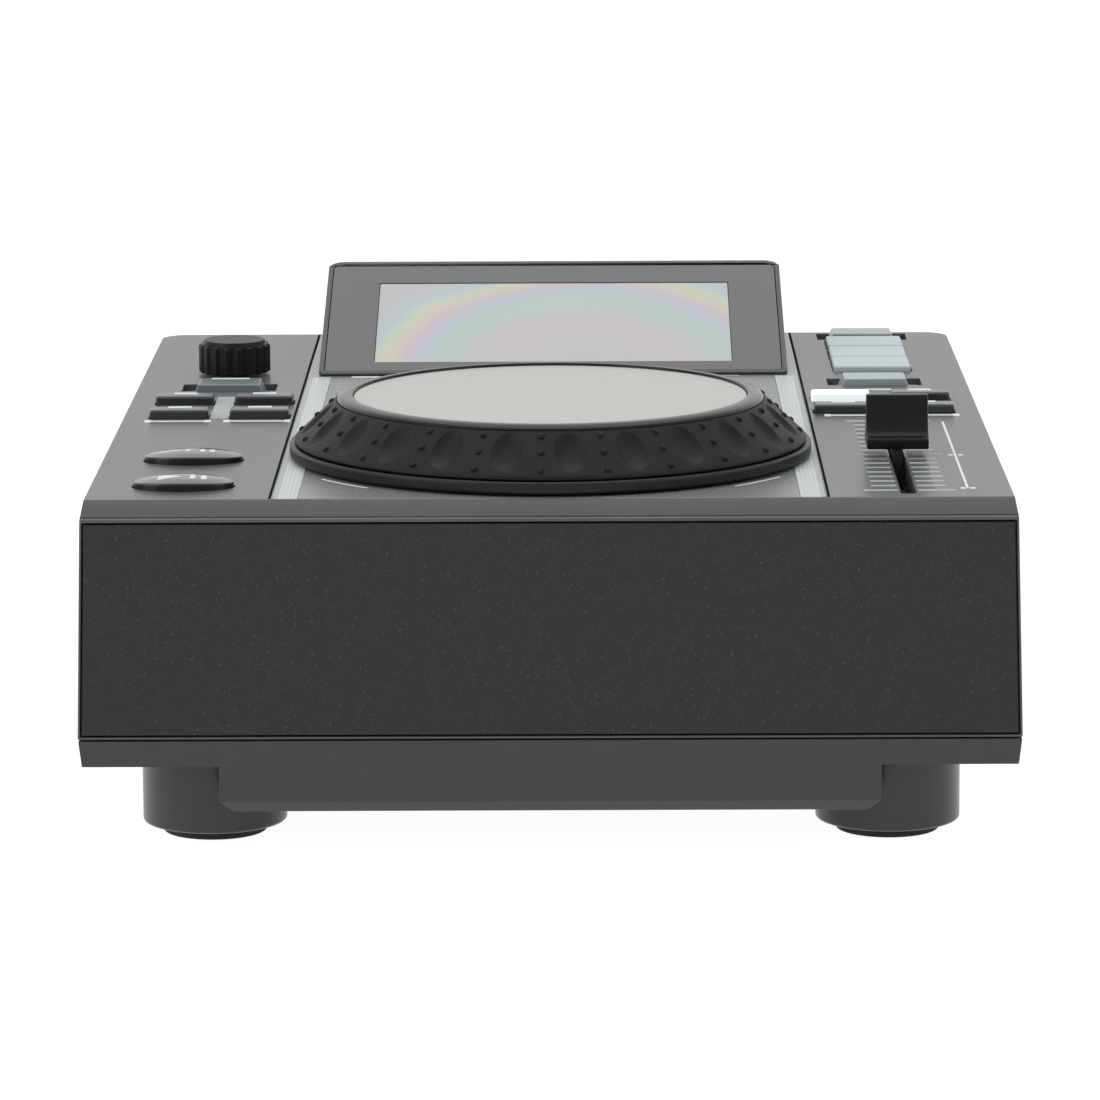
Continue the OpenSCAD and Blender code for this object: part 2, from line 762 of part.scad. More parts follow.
module screen_bezel() {
    color("black") on_slope() difference() {
        translate([0, 0, -bezel_t]) linear_extrude(bezel_t) face_outline(screen_rim + seat);
        block([-lcd_w / 2, lcd_y, -bezel_t - 1], [lcd_w / 2, lcd_y + lcd_h, 1]);
    }
}

module lcd_glass() {
    color("silver") on_slope()
        block([-lcd_w / 2 + seat, lcd_y + seat, -bezel_t],
              [lcd_w / 2 - seat, lcd_y + lcd_h - seat, -glass_sunk]);
}

module lcd_module() {
    color("slategray") on_slope()
        block([-module_w / 2, lcd_y - lcd_border, -bezel_t - seat - lcd_t],
              [module_w / 2, lcd_y + lcd_h + lcd_border, -bezel_t - seat]);
}

/* Jog wheel */

// A solid of revolution about the wheel's axis
module turned(points) {
    translate([0, jog_y, 0]) rotate_extrude($fn = 96) polygon(points);
}

module jog_carrier() {
    column_out = disc_r - 1;
    column_in = column_out - 2.5;
    boss_out = spindle_r + slip + 5;
    under_disc = disc_top - disc_t - seat;
    color("black") turned([
        [spindle_r + slip, carrier_z], [boss_out, carrier_z], [boss_out, web_z], [jog_r - skirt_t, web_z],
        [jog_r - skirt_t, skirt_z], [jog_r - 0.4, skirt_z], [jog_r, skirt_z + 0.5],
        [jog_r, deck_z + skirt_top - 0.5], [jog_r - 0.5, deck_z + skirt_top],
        [column_out, deck_z + skirt_top], [column_out, under_disc], [column_in, under_disc],
        [column_in, deck_z + skirt_top], [boss_out, deck_z + skirt_top], [boss_out, under_disc],
        [spindle_r + slip, under_disc]
    ]);
}

// Slope of the grip, from the foot to the ring
grip_foot = [grip_foot_r, deck_z + skirt_top + seat];
grip_head = [ring_r, ring_z - 0.5];
grip_angle = atan2(grip_head[1] - grip_foot[1], grip_foot[0] - grip_head[0]);
grip_l = norm(grip_head - grip_foot);
dimple_l = grip_l * 0.86;
dimple_w = 2 * PI * (grip_foot_r + ring_r) / 2 / dimples * 0.54;

// Radius of an arc with the given chord and rise
function arc_r(chord, rise) = (chord * chord / 4 + rise * rise) / (2 * rise);
dimple_r = arc_r(dimple_w, dimple_depth);

// A barrel along Z whose side leaves an oval dimple
module dimple_cutter() {
    bulge_r = arc_r(dimple_l, dimple_depth);
    rotate_extrude($fn = 48) intersection() {
        translate([dimple_r - bulge_r, 0]) circle(bulge_r, $fn = 96);
        translate([0, -dimple_l / 2]) square([dimple_r, dimple_l]);
    }
}

module jog_grip() {
    inner = ring_r - ring_w - 0.05;
    mid = (grip_foot + grip_head) / 2;
    out = dimple_r - dimple_depth;
    color("black") difference() {
        turned([
            [grip_foot[0] - grip_t, grip_foot[1]], grip_foot, [grip_foot[0], grip_foot[1] + 0.8],
            grip_head, [grip_head[0] - 0.3, ring_z - ring_t - seat], [inner, ring_z - ring_t - seat],
            [inner, ring_z - ring_t - 2.6], [grip_head[0] - grip_t, ring_z - ring_t - 2.6]
        ]);
        for (i = [0 : dimples - 1])
            translate([0, jog_y, 0]) rotate([0, 0, dimple_turn + i * 360 / dimples])
                translate([0, -mid[0], mid[1]]) rotate([grip_angle - 90, 0, 0])
                    translate([0, -out, 0]) dimple_cutter();
    }
}

// Its top falls away outward, so that it mirrors what stands beside the wheel
module jog_trim_ring() {
    r0 = disc_r + 0.1;
    color("darkslategray") turned([
        [r0, ring_z - ring_t], [ring_r - 0.4, ring_z - ring_t], [ring_r - 0.1, ring_z - 1],
        [ring_r - 1.2, ring_z - 0.6], [r0 + 1.6, ring_z - 0.15], [r0 + 0.4, ring_z], [r0, ring_z - 0.3]
    ]);
}

module jog_disc() {
    color("silver") rod([0, jog_y], disc_r, disc_top - disc_t, disc_top);
}

module jog_spindle() {
    color("silver") difference() {
        rod([0, jog_y], spindle_r, code_z, disc_top - disc_t - 0.4);
        translate([0, jog_y, clip_z - 0.05]) difference() {
            cylinder(r = spindle_r + 1, h = clip_t + 0.1);
            translate([0, 0, -1]) cylinder(r = spindle_r - 0.8, h = clip_t + 3);
        }
    }
}

module jog_clip() {
    color("gray") difference() {
        rod([0, jog_y], spindle_r + 2.5, clip_z, clip_z + clip_t);
        rod([0, jog_y], spindle_r - 0.8 + slip, clip_z - 1, clip_z + clip_t + 1);
        block([-spindle_r + 1.4, jog_y - spindle_r - 4, clip_z - 1],
              [spindle_r - 1.4, jog_y, clip_z + clip_t + 1]);
    }
}

module jog_code_wheel() {
    slots = 24;
    color("black") difference() {
        union() {
            rod([0, jog_y], code_r, code_z + 0.8, code_z + 0.8 + code_t);
            rod([0, jog_y], spindle_r + 3, code_z, code_z + code_hub_h);
        }
        rod([0, jog_y], spindle_r + slip, code_z - 1, code_z + code_hub_h + 1);
        translate([0, jog_y, code_z]) for (i = [0 : slots - 1]) rotate([0, 0, i * 360 / slots])
            block([code_r - 4.5, -1, 0], [code_r - 1.5, 1, 3]);
    }
}

module jog_bush() {
    r = spindle_r + spindle_clear + bush_wall;
    color("goldenrod") translate([0, jog_y, 0]) rotate_extrude() polygon([
        [spindle_r + spindle_clear, tube_bottom - flange_t], [r + 1.5, tube_bottom - flange_t],
        [r + 1.5, tube_bottom], [r, tube_bottom], [r, tube_top], [r + 1.5, tube_top],
        [r + 1.5, thrust_z], [spindle_r + spindle_clear, thrust_z]
    ]);
}

module jog_base() {
    bore = spindle_r + spindle_clear + bush_wall + slip;
    plate_top = roof_z - seat;
    color("dimgray") difference() {
        union() {
            rod([0, jog_y], tube_r, tube_bottom, tube_top);
            rod([0, jog_y], base_r, plate_top - base_t, plate_top);
            for (a = [0 : 60 : 300]) translate([0, jog_y, 0]) rotate([0, 0, a])
                block([tube_r - 1, -1.2, plate_top - base_t - 6],
                      [base_r - 9, 1.2, plate_top - base_t + 0.5]);
        }
        rod([0, jog_y], bore, tube_bottom - 1, tube_top + 1);
        for (a = [45 : 90 : 315])
            rod(base_screw_at(a), board_screw_r + 0.2, plate_top - base_t - 1, roof_z + 1);
    }
}

// Forked light gate that reads the code wheel, hung from the bearing base by its arm
module jog_sensor() {
    edge = jog_y + code_r;
    gate_top = code_z + 0.8 + code_t + sensor_gap;
    color("black") union() {
        block([-4, edge - 6, gate_top], [4, edge + 6, gate_top + 3]);
        block([-4, edge - 6, code_z + 0.8 - sensor_gap - 2.5], [4, edge + 6, code_z + 0.8 - sensor_gap]);
        block([-4, edge + 1.5, code_z + 0.8 - sensor_gap - 1], [4, edge + 6, gate_top + 1]);
        block([-3, edge + 2, gate_top + 2], [3, edge + 6, roof_z - base_t - 2 * seat]);
    }
}

/* Keys */

// Flange, stem and cap root that all keys share
module key_stem(at, w, d, travel) {
    top = roof_z - flange_gap;
    stop = board_top + switch_h + actuator_h + travel + free_play;
    block([at[0] - w / 2 - key_flange_w, at[1] - d / 2 - key_flange_w, top - key_flange_t],
          [at[0] + w / 2 + key_flange_w, at[1] + d / 2 + key_flange_w, top]);
    rod(at, stem_r, stop, top);
}

module oval_key(at) {
    dome_r = 60;
    top = deck_z + oval_h;
    color("gray") union() {
        intersection() {
            translate([at[0], at[1], roof_z - flange_gap - eps])
                linear_extrude(roof_t + oval_h + 2) oval(oval_w / 2, oval_d / 2);
            translate([at[0], at[1], top - dome_r]) sphere(dome_r, $fn = 128);
        }
        key_stem(at, oval_w - 2, oval_d - 2, oval_travel);
    }
}

module box_key(at, w, d, h) {
    color("black") union() {
        block([at[0] - w / 2, at[1] - d / 2, roof_z - flange_gap - eps],
              [at[0] + w / 2, at[1] + d / 2, deck_z + h]);
        key_stem(at, w, d, key_travel);
    }
}

// A key whose raised middle slopes down at both ends into its pocket
module saddle_key(at) {
    a = saddle_w / 2;
    b = saddle_top_w / 2;
    low = deck_z - pocket_drop;
    color("gray") union() {
        translate([at[0], at[1] + saddle_d / 2, 0]) rotate([90, 0, 0]) linear_extrude(saddle_d)
            polygon([
                [-a, roof_z - flange_gap - eps], [a, roof_z - flange_gap - eps], [a, low], [b + 1.4, low],
                [b, deck_z + saddle_h], [-b, deck_z + saddle_h], [-b - 1.4, low], [-a, low]
            ]);
        key_stem(at, saddle_w, saddle_d, key_travel);
    }
}

module pad_key(i) {
    box_key([pad_x, pad_first + i * pad_pitch], pad_w, pad_d, pad_h);
}

// Places of all keys, for the switches under them
function key_places() = concat(
    [play_at, cue_at, left_saddle_at, right_saddle_at, rear_saddle_at],
    [for (x = left_x, y = left_y) [x, y]],
    [for (x = right_x, y = right_y) [x, y]],
    [for (i = [0 : 2]) [pad_x, pad_first + i * pad_pitch]]
);

module key_switches() {
    color("silver") for (p = key_places()) union() {
        block([p[0] - 3, p[1] - 3, board_top + eps], [p[0] + 3, p[1] + 3, board_top + switch_h]);
        rod(p, actuator_r, board_top + switch_h - 0.5, board_top + switch_h + actuator_h);
    }
}

module control_board(side) {
    color("darkgreen") difference() {
        if (side < 0)
            block([-board_out, -post_y + post_r + 0.5, board_top - board_t],
                  [-board_in, knob_at[1] + 14, board_top]);
        else union() {
            block([board_in, front_y + 19, board_top - board_t], [board_out, post_y - 6, board_top]);
            block([board_in, post_y - 7, board_top - board_t], [post_x - 6, cavity_rear - 1, board_top]);
        }
        for (p = board_screws(side)) rod(p, board_screw_r + 0.2, board_top - board_t - 1, board_top + 1);
    }
}

// Places of a control board's screws, under bosses of the deck skin
function board_screws(side) = [
    for (x = [board_in + 2.8, board_out - 4], y = side < 0 ? left_screw_y : right_screw_y) [side * x, y]
];

/* Browse knob */

module browse_encoder() {
    x = knob_at[0];
    y = knob_at[1];
    top = board_top + encoder_h;
    color("silver") difference() {
        union() {
            block([x - encoder_w / 2, y - encoder_w / 2, board_top + eps],
                  [x + encoder_w / 2, y + encoder_w / 2, top]);
            rod(knob_at, bushing_r, top - eps, bushing_top);
        }
        rod(knob_at, shaft_r + shaft_clear, plunger_z, bushing_top + 1);
        rod(knob_at, plunger_r + 0.3, plunger_z - knob_travel - 0.2, top - 1.2);
    }
}

module browse_plunger() {
    color("ivory") rod(knob_at, plunger_r, plunger_z, plunger_z + plunger_t);
}

module browse_shaft() {
    color("silver") rod(knob_at, shaft_r, plunger_z + plunger_t + seat, knob_z + knob_bore);
}

module browse_knob() {
    ribs = 18;
    color("black") difference() {
        union() {
            rod(knob_at, knob_r - 0.6, knob_z, knob_z + knob_h - 1);
            rod(knob_at, knob_r - 1.4, knob_z + knob_h - 1 - eps, knob_z + knob_h);
            translate([knob_at[0], knob_at[1], knob_z]) for (i = [0 : ribs - 1])
                rotate([0, 0, i * 360 / ribs]) translate([knob_r - 1, 0, 0])
                    cylinder(r = 1, h = knob_h - 1.3, $fn = 24);
        }
        rod(knob_at, shaft_r + slip, knob_z - 1, knob_z + knob_bore + 0.1);
    }
}

/* Pitch fader */

module fader_body() {
    x = fader_body_w / 2;
    y = fader_body_l / 2;
    color("silver") translate([fader_at[0], fader_at[1], 0]) difference() {
        block([-x, -y, fader_bottom], [x, y, fader_top]);
        block([-x + fader_wall, -y + fader_wall, fader_bottom + fader_wall],
              [x - fader_wall, y - fader_wall, fader_top - fader_wall]);
        block([-slot_w / 2, -slot_l / 2, fader_top - fader_wall - 1],
              [slot_w / 2, slot_l / 2, fader_top + 1]);
    }
}

module fader_lever() {
    x = fader_body_w / 2 - fader_wall - 0.3;
    low = fader_bottom + fader_wall + 0.3;
    color("black") translate([fader_at[0], fader_at[1], 0]) union() {
        block([-x, -carriage_l / 2, low], [x, carriage_l / 2, low + carriage_h]);
        block([-lever_t / 2, -lever_w / 2, low + carriage_h - eps],
              [lever_t / 2, lever_w / 2, cap_z - seat]);
        block([-lever_t / 2, -tip_w / 2, cap_z - seat - eps], [lever_t / 2, tip_w / 2, cap_z + cap_bore]);
    }
}

// Side view of the cap: a lip at each end and a hollow slope up to the ridge
module cap_profile() {
    half = cap_l / 2;
    ridge = ridge_l / 2;
    rise = cap_h - lip_h - 0.8;
    run = half - ridge - 0.5;
    slope = [for (a = [0 : 10 : 90]) [half - 0.5 - run * sin(a), lip_h + rise * (1 - cos(a))]];
    polygon(concat(
        [[half, 0], [half, lip_h - 0.4]], slope, [[ridge - 0.5, cap_h]], [[-ridge + 0.5, cap_h]],
        [for (i = [len(slope) - 1 : -1 : 0]) [-slope[i][0], slope[i][1]]],
        [[-half, lip_h - 0.4], [-half, 0]]
    ));
}

module fader_cap() {
    color("black") translate([fader_at[0], fader_at[1], cap_z]) difference() {
        translate([-cap_w / 2, 0, 0]) rotate([90, 0, 90]) linear_extrude(cap_w) cap_profile();
        block([-lever_t / 2 - slip, -tip_w / 2 - slip, -1],
              [lever_t / 2 + slip, tip_w / 2 + slip, cap_bore + seat]);
    }
}

/* Inside and rear */

module board_with_holes(xs, ys) {
    difference() {
        block([xs[0], ys[0], main_z], [xs[1], ys[1], main_z + board_t]);
        for (p = board_holes(xs, ys)) rod(p, board_screw_r + 0.2, main_z - 1, main_z + board_t + 1);
    }
}

module main_board() {
    top = main_z + board_t;
    mid = (main_x[0] + main_x[1]) / 2;
    color("darkgreen") union() {
        board_with_holes(main_x, main_y);
        block([mid - 14, 50, top - eps], [mid + 14, 78, top + 2.2]);
        for (i = [0 : 2]) block([mid - 36, 44 + i * 13, top - eps], [mid - 22, 53 + i * 13, top + 1.2]);
        for (x = [mid - 30, mid + 20]) block([x - 9, 24, top - eps], [x + 9, 30, top + 6]);
        for (i = [0 : 3]) rod([mid + 26 + 9 * i, 86], 3.2, top - eps, top + 9);
    }
}

module power_supply() {
    top = main_z + board_t;
    mid = (supply_x[0] + supply_x[1]) / 2;
    color("darkgreen") union() {
        board_with_holes(supply_x, supply_y);
        block([mid - 14, 46, top - eps], [mid + 14, 72, top + 21]);
        rod([mid - 14, 86], 8, top - eps, top + 20);
        rod([mid + 8, 84], 5, top - eps, top + 15);
        block([mid + 16, 30, top - eps], [mid + 18, 66, top + 18]);
        block([mid - 22, 28, top - eps], [mid - 6, 36, top + 9]);
    }
}

// Flat cables from each control board down to the main board
module ribbon_cables() {
    top = main_z + board_t;
    for (side = [-1, 1]) {
        plug_x = side < 0 ? main_x[0] + 12 : main_x[1] - 18;
        low_y = 27;
        under = board_top - board_t;
        high_x = side * (board_in + 5);
        color("lightgray") union() {
            block([plug_x - 6, low_y - 1.2, top + seat], [plug_x + 6, low_y + 1.2, top + 6]);
            block([min(plug_x, high_x) - 6, low_y - 0.4, top + 5],
                  [max(plug_x, high_x) + 6, low_y + 0.4, top + 13]);
            block([high_x - 6, low_y - 0.4, top + 12], [high_x + 6, low_y + 0.4, under - 4]);
            block([high_x - 6, low_y - 1.2, under - 5], [high_x + 6, low_y + 1.2, under - seat]);
        }
    }
}

// Tub-shaped panel that closes the socket recess
module rear_panel() {
    t = panel_skin;
    z0 = recess_z;
    z1 = recess_z + recess_h;
    color("black") difference() {
        block([-recess_x - t, panel_back, z0 - t], [recess_x + t, cavity_rear - seat, z1 + t]);
        block([-recess_x, panel_face, z0], [recess_x, rear_y, z1]);
        block([inlet_x - inlet_size[0] / 2, panel_back - 1, recess_mid - inlet_size[1] / 2],
              [inlet_x + inlet_size[0] / 2, rear_y, recess_mid + inlet_size[1] / 2]);
        block([switch_x - switch_size[0] / 2, panel_back - 1, recess_mid - switch_size[1] / 2],
              [switch_x + switch_size[0] / 2, rear_y, recess_mid + switch_size[1] / 2]);
        for (x = phono_x) translate([x, panel_back - 1, recess_mid]) rotate([-90, 0, 0])
            cylinder(r = phono_r + 1 + seat, h = t + 2);
        block([usb_a_x - 7, panel_back - 1, recess_mid - 3.5], [usb_a_x + 7, rear_y, recess_mid + 3.5]);
        block([usb_b_x - 6.5, panel_back - 1, recess_mid - 6], [usb_b_x + 6.5, rear_y, recess_mid + 6]);
    }
}

module power_inlet() {
    w = inlet_size[0] / 2 - seat;
    h = inlet_size[1] / 2 - seat;
    mw = inlet_mouth[0] / 2;
    mh = inlet_mouth[1] / 2;
    color("black") translate([inlet_x, 0, recess_mid]) union() {
        difference() {
            union() {
                block([-w, panel_face - inlet_depth - 2, -h], [w, panel_face + 1, h]);
                block([-w - 1.5, panel_face + seat, -h - 1.5], [w + 1.5, panel_face + 2, h + 1.5]);
            }
            block([-mw, panel_face - inlet_depth, -mh], [mw, panel_face + 3, mh]);
        }
        for (p = [[-7, -2], [0, 2], [7, -2]])
            block([p[0] - 1, panel_face - inlet_depth - 1, p[1] - 2], [p[0] + 1, panel_face - 4, p[1] + 2]);
    }
}

module power_switch() {
    w = switch_size[0] / 2 - seat;
    h = switch_size[1] / 2 - seat;
    color("black") translate([switch_x, 0, recess_mid]) difference() {
        union() {
            block([-w, panel_face - 14, -h], [w, panel_face + 1, h]);
            block([-w - 1, panel_face + seat, -h - 1], [w + 1, panel_face + 1.8, h + 1]);
        }
        block([-rocker_size[0] / 2 - 0.3, panel_face - 8, -rocker_size[1] / 2 - 1],
              [rocker_size[0] / 2 + 0.3, panel_face + 3, rocker_size[1] / 2 + 1]);
        translate([-pivot_l - seat, rocker_y, 0]) rotate([0, 90, 0])
            cylinder(r = pivot_r + slip, h = 2 * pivot_l + 2 * seat);
    }
}

// The rocker rests with its upper half pushed in
module power_rocker() {
    half = rocker_size[1] / 2;
    rise = half * tan(rocker_swing / 2);
    wide = rocker_size[0];
    color("black") translate([switch_x, rocker_y, recess_mid]) rotate([rocker_swing / 2, 0, 0]) union() {
        translate([-wide / 2, 0, 0]) rotate([90, 0, 90]) linear_extrude(wide)
            polygon([
                [-4, -2.5], [-1, -half + 0.3], [2 + rise, -half + 0.2], [1.8, 0],
                [2 + rise, half - 0.2], [-1, half - 0.3], [-4, 2.5]
            ]);
        translate([-pivot_l, 0, 0]) rotate([0, 90, 0]) cylinder(r = pivot_r, h = 2 * pivot_l);
    }
}

module phono_sockets() {
    color("gold") for (x = phono_x) translate([x, 0, recess_mid]) rotate([-90, 0, 0]) difference() {
        union() {
            translate([0, 0, panel_back - 9]) cylinder(r = 6, h = 9 - seat);
            translate([0, 0, panel_back - 1]) cylinder(r = phono_r + 1, h = panel_skin + 1.8);
            translate([0, 0, panel_face]) cylinder(r = phono_r, h = phono_l);
        }
        translate([0, 0, panel_face + 0.8]) difference() {
            cylinder(r = phono_r - 0.9, h = phono_l + 1);
            translate([0, 0, -1]) cylinder(r = 2.4, h = phono_l - 0.3);
        }
        translate([0, 0, panel_face - 3]) cylinder(r = 1.65, h = phono_l + 5);
    }
}

module usb_sockets() {
    color("silver") {
        translate([usb_a_x, 0, recess_mid]) union() {
            difference() {
                block([-6.6, panel_back - 10, -2.9], [6.6, panel_face + 1, 2.9]);
                block([-6.25, panel_face - 9.5, -2.56], [6.25, panel_face + 2, 2.56]);
            }
            block([-5.5, panel_face - 9.6, 0.1], [5.5, panel_face - 1, 1.9]);
        }
        translate([usb_b_x, 0, recess_mid]) union() {
            difference() {
                block([-6, panel_back - 12, -5.5], [6, panel_face + 1, 5.5]);
                block([-4.2, panel_face - 9, -3.9], [4.2, panel_face + 2, 3.9]);
            }
            block([-2.8, panel_face - 9.1, -1.6], [2.8, panel_face - 1, 1.6]);
        }
    }
}

// Crossed slots for the driver, between two heights
module driver_slots(at, z0, z1) {
    for (a = [0, 90]) translate([at[0], at[1], z0]) rotate([0, 0, a])
        block([-slot_length / 2, -slot_width / 2, 0], [slot_length / 2, slot_width / 2, z1 - z0]);
}

// A screw that points up: head below, shank above
module screw(at, z, r, l, head, head_l) {
    difference() {
        union() {
            rod(at, r, z + head_l - eps, z + head_l + l);
            rod(at, head, z, z + head_l);
        }
        driver_slots(at, z - 1, z + slot_depth);
    }
}

module screws() {
    color("silver") {
        for (sx = [-1, 1], sy = [-1, 1]) {
            screw([sx * post_x, sy * post_y], rim_z + 0.2, screw_r, 15, head_r, head_h);
            screw([sx * foot_x, sy * foot_y], foot_z + pad_sunk + 3 - head_h, screw_r, rim_z - foot_z,
                  head_r, head_h);
        }
        for (a = [45 : 90 : 315])
            screw(base_screw_at(a), roof_z - base_t - 2 * seat - small_head_h, board_screw_r, base_t + 1.8,
                  small_head_r, small_head_h);
        for (p = concat(board_screws(-1), board_screws(1)))
            screw(p, board_top - board_t - seat - small_head_h, board_screw_r, board_t + 6,
                  small_head_r, small_head_h);
        for (p = concat(board_holes(main_x, main_y), board_holes(supply_x, supply_y))) difference() {
            union() {
                rod(p, board_screw_r, main_z - 4.4, main_z + board_t + 1);
                rod(p, small_head_r, small_head_z, small_head_z + small_head_h);
            }
            driver_slots(p, small_head_z + small_head_h - slot_depth, small_head_z + small_head_h + 1);
        }
    }
}

top_shell();
centre_deck();
front_panel();
bottom_tray();
rear_panel();
side_strips();
foot(-1, -1);  // foot_front_left
foot(1, -1);  // foot_front_right
foot(-1, 1);  // foot_rear_left
foot(1, 1);  // foot_rear_right
foot_pads();
screen_housing();
screen_bezel();
lcd_glass();
lcd_module();
jog_carrier();
jog_grip();
jog_trim_ring();
jog_disc();
jog_spindle();
jog_clip();
jog_code_wheel();
jog_bush();
jog_base();
jog_sensor();
oval_key(play_at);  // play_key
oval_key(cue_at);  // cue_key
box_key([left_x[0], left_y[0]], key_w, key_d, key_h);  // left_key_1
box_key([left_x[1], left_y[0]], key_w, key_d, key_h);  // left_key_2
box_key([left_x[0], left_y[1]], key_w, key_d, key_h);  // left_key_3
box_key([left_x[1], left_y[1]], key_w, key_d, key_h);  // left_key_4
saddle_key(left_saddle_at);  // left_saddle_key
box_key([right_x[0], right_y[0]], key_w, key_d, key_h);  // right_key_1
box_key([right_x[1], right_y[0]], key_w, key_d, key_h);  // right_key_2
box_key([right_x[0], right_y[1]], key_w, key_d, key_h);  // right_key_3
box_key([right_x[1], right_y[1]], key_w, key_d, key_h);  // right_key_4
saddle_key(right_saddle_at);  // right_saddle_key
saddle_key(rear_saddle_at);  // rear_saddle_key
pad_key(0);  // pad_key_1
pad_key(1);  // pad_key_2
pad_key(2);  // pad_key_3
browse_knob();
browse_shaft();
browse_plunger();
browse_encoder();
fader_cap();
fader_lever();
fader_body();
control_board(-1);  // control_board_left
control_board(1);  // control_board_right
key_switches();
main_board();
power_supply();
ribbon_cables();
power_inlet();
power_switch();
power_rocker();
phono_sockets();
usb_sockets();
screws();
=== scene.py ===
# %% [markdown]
# # A tabletop media player with a jog wheel
# This notebook dresses a CAD model of a small media player for DJs. The CAD model already
# has every part at its real size and place. Here the parts that show get soft edges, fine
# detail and a finish, and everything stays where the CAD put it.
# The first step loads the CAD parts and hangs them on their bodies, and a helper reads the box that
# each one fills.

import json
import math

import bpy
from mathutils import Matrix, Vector

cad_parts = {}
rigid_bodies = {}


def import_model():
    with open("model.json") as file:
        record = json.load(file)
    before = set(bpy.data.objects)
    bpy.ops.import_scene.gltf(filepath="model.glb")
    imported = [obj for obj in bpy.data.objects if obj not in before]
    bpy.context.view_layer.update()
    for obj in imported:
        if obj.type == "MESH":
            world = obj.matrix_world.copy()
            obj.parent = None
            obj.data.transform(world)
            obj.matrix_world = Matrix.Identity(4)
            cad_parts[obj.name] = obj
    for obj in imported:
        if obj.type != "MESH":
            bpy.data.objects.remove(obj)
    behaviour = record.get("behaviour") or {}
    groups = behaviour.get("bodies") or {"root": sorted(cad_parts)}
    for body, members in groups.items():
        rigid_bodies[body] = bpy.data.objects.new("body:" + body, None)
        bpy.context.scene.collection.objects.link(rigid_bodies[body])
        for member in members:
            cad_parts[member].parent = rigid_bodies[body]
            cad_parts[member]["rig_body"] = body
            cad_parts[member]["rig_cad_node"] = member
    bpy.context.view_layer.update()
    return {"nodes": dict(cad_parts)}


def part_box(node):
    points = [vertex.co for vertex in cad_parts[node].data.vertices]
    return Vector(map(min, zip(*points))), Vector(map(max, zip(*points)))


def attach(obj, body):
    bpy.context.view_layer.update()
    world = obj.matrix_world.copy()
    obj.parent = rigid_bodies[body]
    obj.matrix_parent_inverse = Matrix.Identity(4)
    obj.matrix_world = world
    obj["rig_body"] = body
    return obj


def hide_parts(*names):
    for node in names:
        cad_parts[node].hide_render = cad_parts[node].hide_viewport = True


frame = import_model()
MM = 0.001

# %% [markdown]
# ## The camera
# The player was photographed from far away with a long lens, a little from above and
# almost straight from the front, so its edges hardly converge. The place and the lens
# were worked out from the straight edges of the case. The camera also leans a quarter of a
# degree to its side, which is why the right half of the picture lies a little higher.

# %% Camera
camera_place = (0.00892, -1.48678, 0.31972)
camera_down = 10.335
camera_turn = 0.370
camera_lean = -0.28
camera_lens = 191.93
sensor_w = 36
bpy.ops.object.camera_add(
    location=camera_place,
    rotation=(math.radians(90 - camera_down), 0, math.radians(camera_turn)),
)
camera = bpy.context.object
camera.rotation_euler.rotate_axis("Z", math.radians(camera_lean))
camera.data.lens = camera_lens
camera.data.sensor_width = sensor_w
bpy.context.scene.camera = camera
bpy.context.scene.view_settings.view_transform = "Standard"
print("camera:", camera_down, "degrees down, lens", camera_lens, "mm")

# %% [markdown]
# ## Two helpers for materials
# A material is a small graph of nodes. One function adds a node, sets its properties and
# fills its sockets, either with a value or with the output of another node. Colours are
# written as they look on a screen, in sRGB hex, and turned to the linear values that the
# renderer works with.

# %% Material helpers
def linear(hex_colour):
    """An sRGB colour such as #5a5a5a as linear red, green, blue and alpha."""
    parts = [int(hex_colour[i:i + 2], 16) / 255 for i in (1, 3, 5)]
    return [p / 12.92 if p <= 0.04045 else ((p + 0.055) / 1.055) ** 2.4 for p in parts] + [1]


def add(tree, kind, sockets=None, **settings):
    """Add one node to a tree; sockets are values, or outputs of other nodes to link."""
    made = tree.nodes.new("ShaderNode" + kind)
    for name, value in settings.items():
        setattr(made, name, value)
    for name, value in (sockets or {}).items():
        if isinstance(value, bpy.types.NodeSocket):
            tree.links.new(value, made.inputs[name])
        else:
            made.inputs[name].default_value = value
    return made


# %% [markdown]
# ## The studio
# Product photographs like this one are taken in a white room. The world is white for the
# camera and for reflections, and a plain grey for diffuse light, so that the white
# background adds no light of its own. The floor is made in the same way: it glows just
# under white, and a faint diffuse part brings it to white outside the shadow of the player.

# %% World and floor
room_light = 0.5
floor_glow = 0.96


def seen_white(tree):
    """1 for rays that should see the white room: camera, mirror and see-through rays."""
    path = add(tree, "LightPath")
    total = add(tree, "Math", {0: path.outputs["Is Camera Ray"],
                               1: path.outputs["Is Glossy Ray"]}, operation="ADD")
    return add(tree, "Math", {0: total.outputs[0], 1: path.outputs["Is Transmission Ray"]},
               operation="ADD", use_clamp=True).outputs[0]


world = bpy.data.worlds.new("studio_world")
world.use_nodes = True
bpy.context.scene.world = world
tree = world.node_tree
tree.nodes.clear()
room = add(tree, "Background", {"Color": linear("#f4f6f8"), "Strength": room_light})
white = add(tree, "Background", {"Color": (1, 1, 1, 1), "Strength": 1.0})
mixed = add(tree, "MixShader", {"Fac": seen_white(tree), 1: room.outputs[0], 2: white.outputs[0]})
add(tree, "OutputWorld", {"Surface": mixed.outputs[0]})

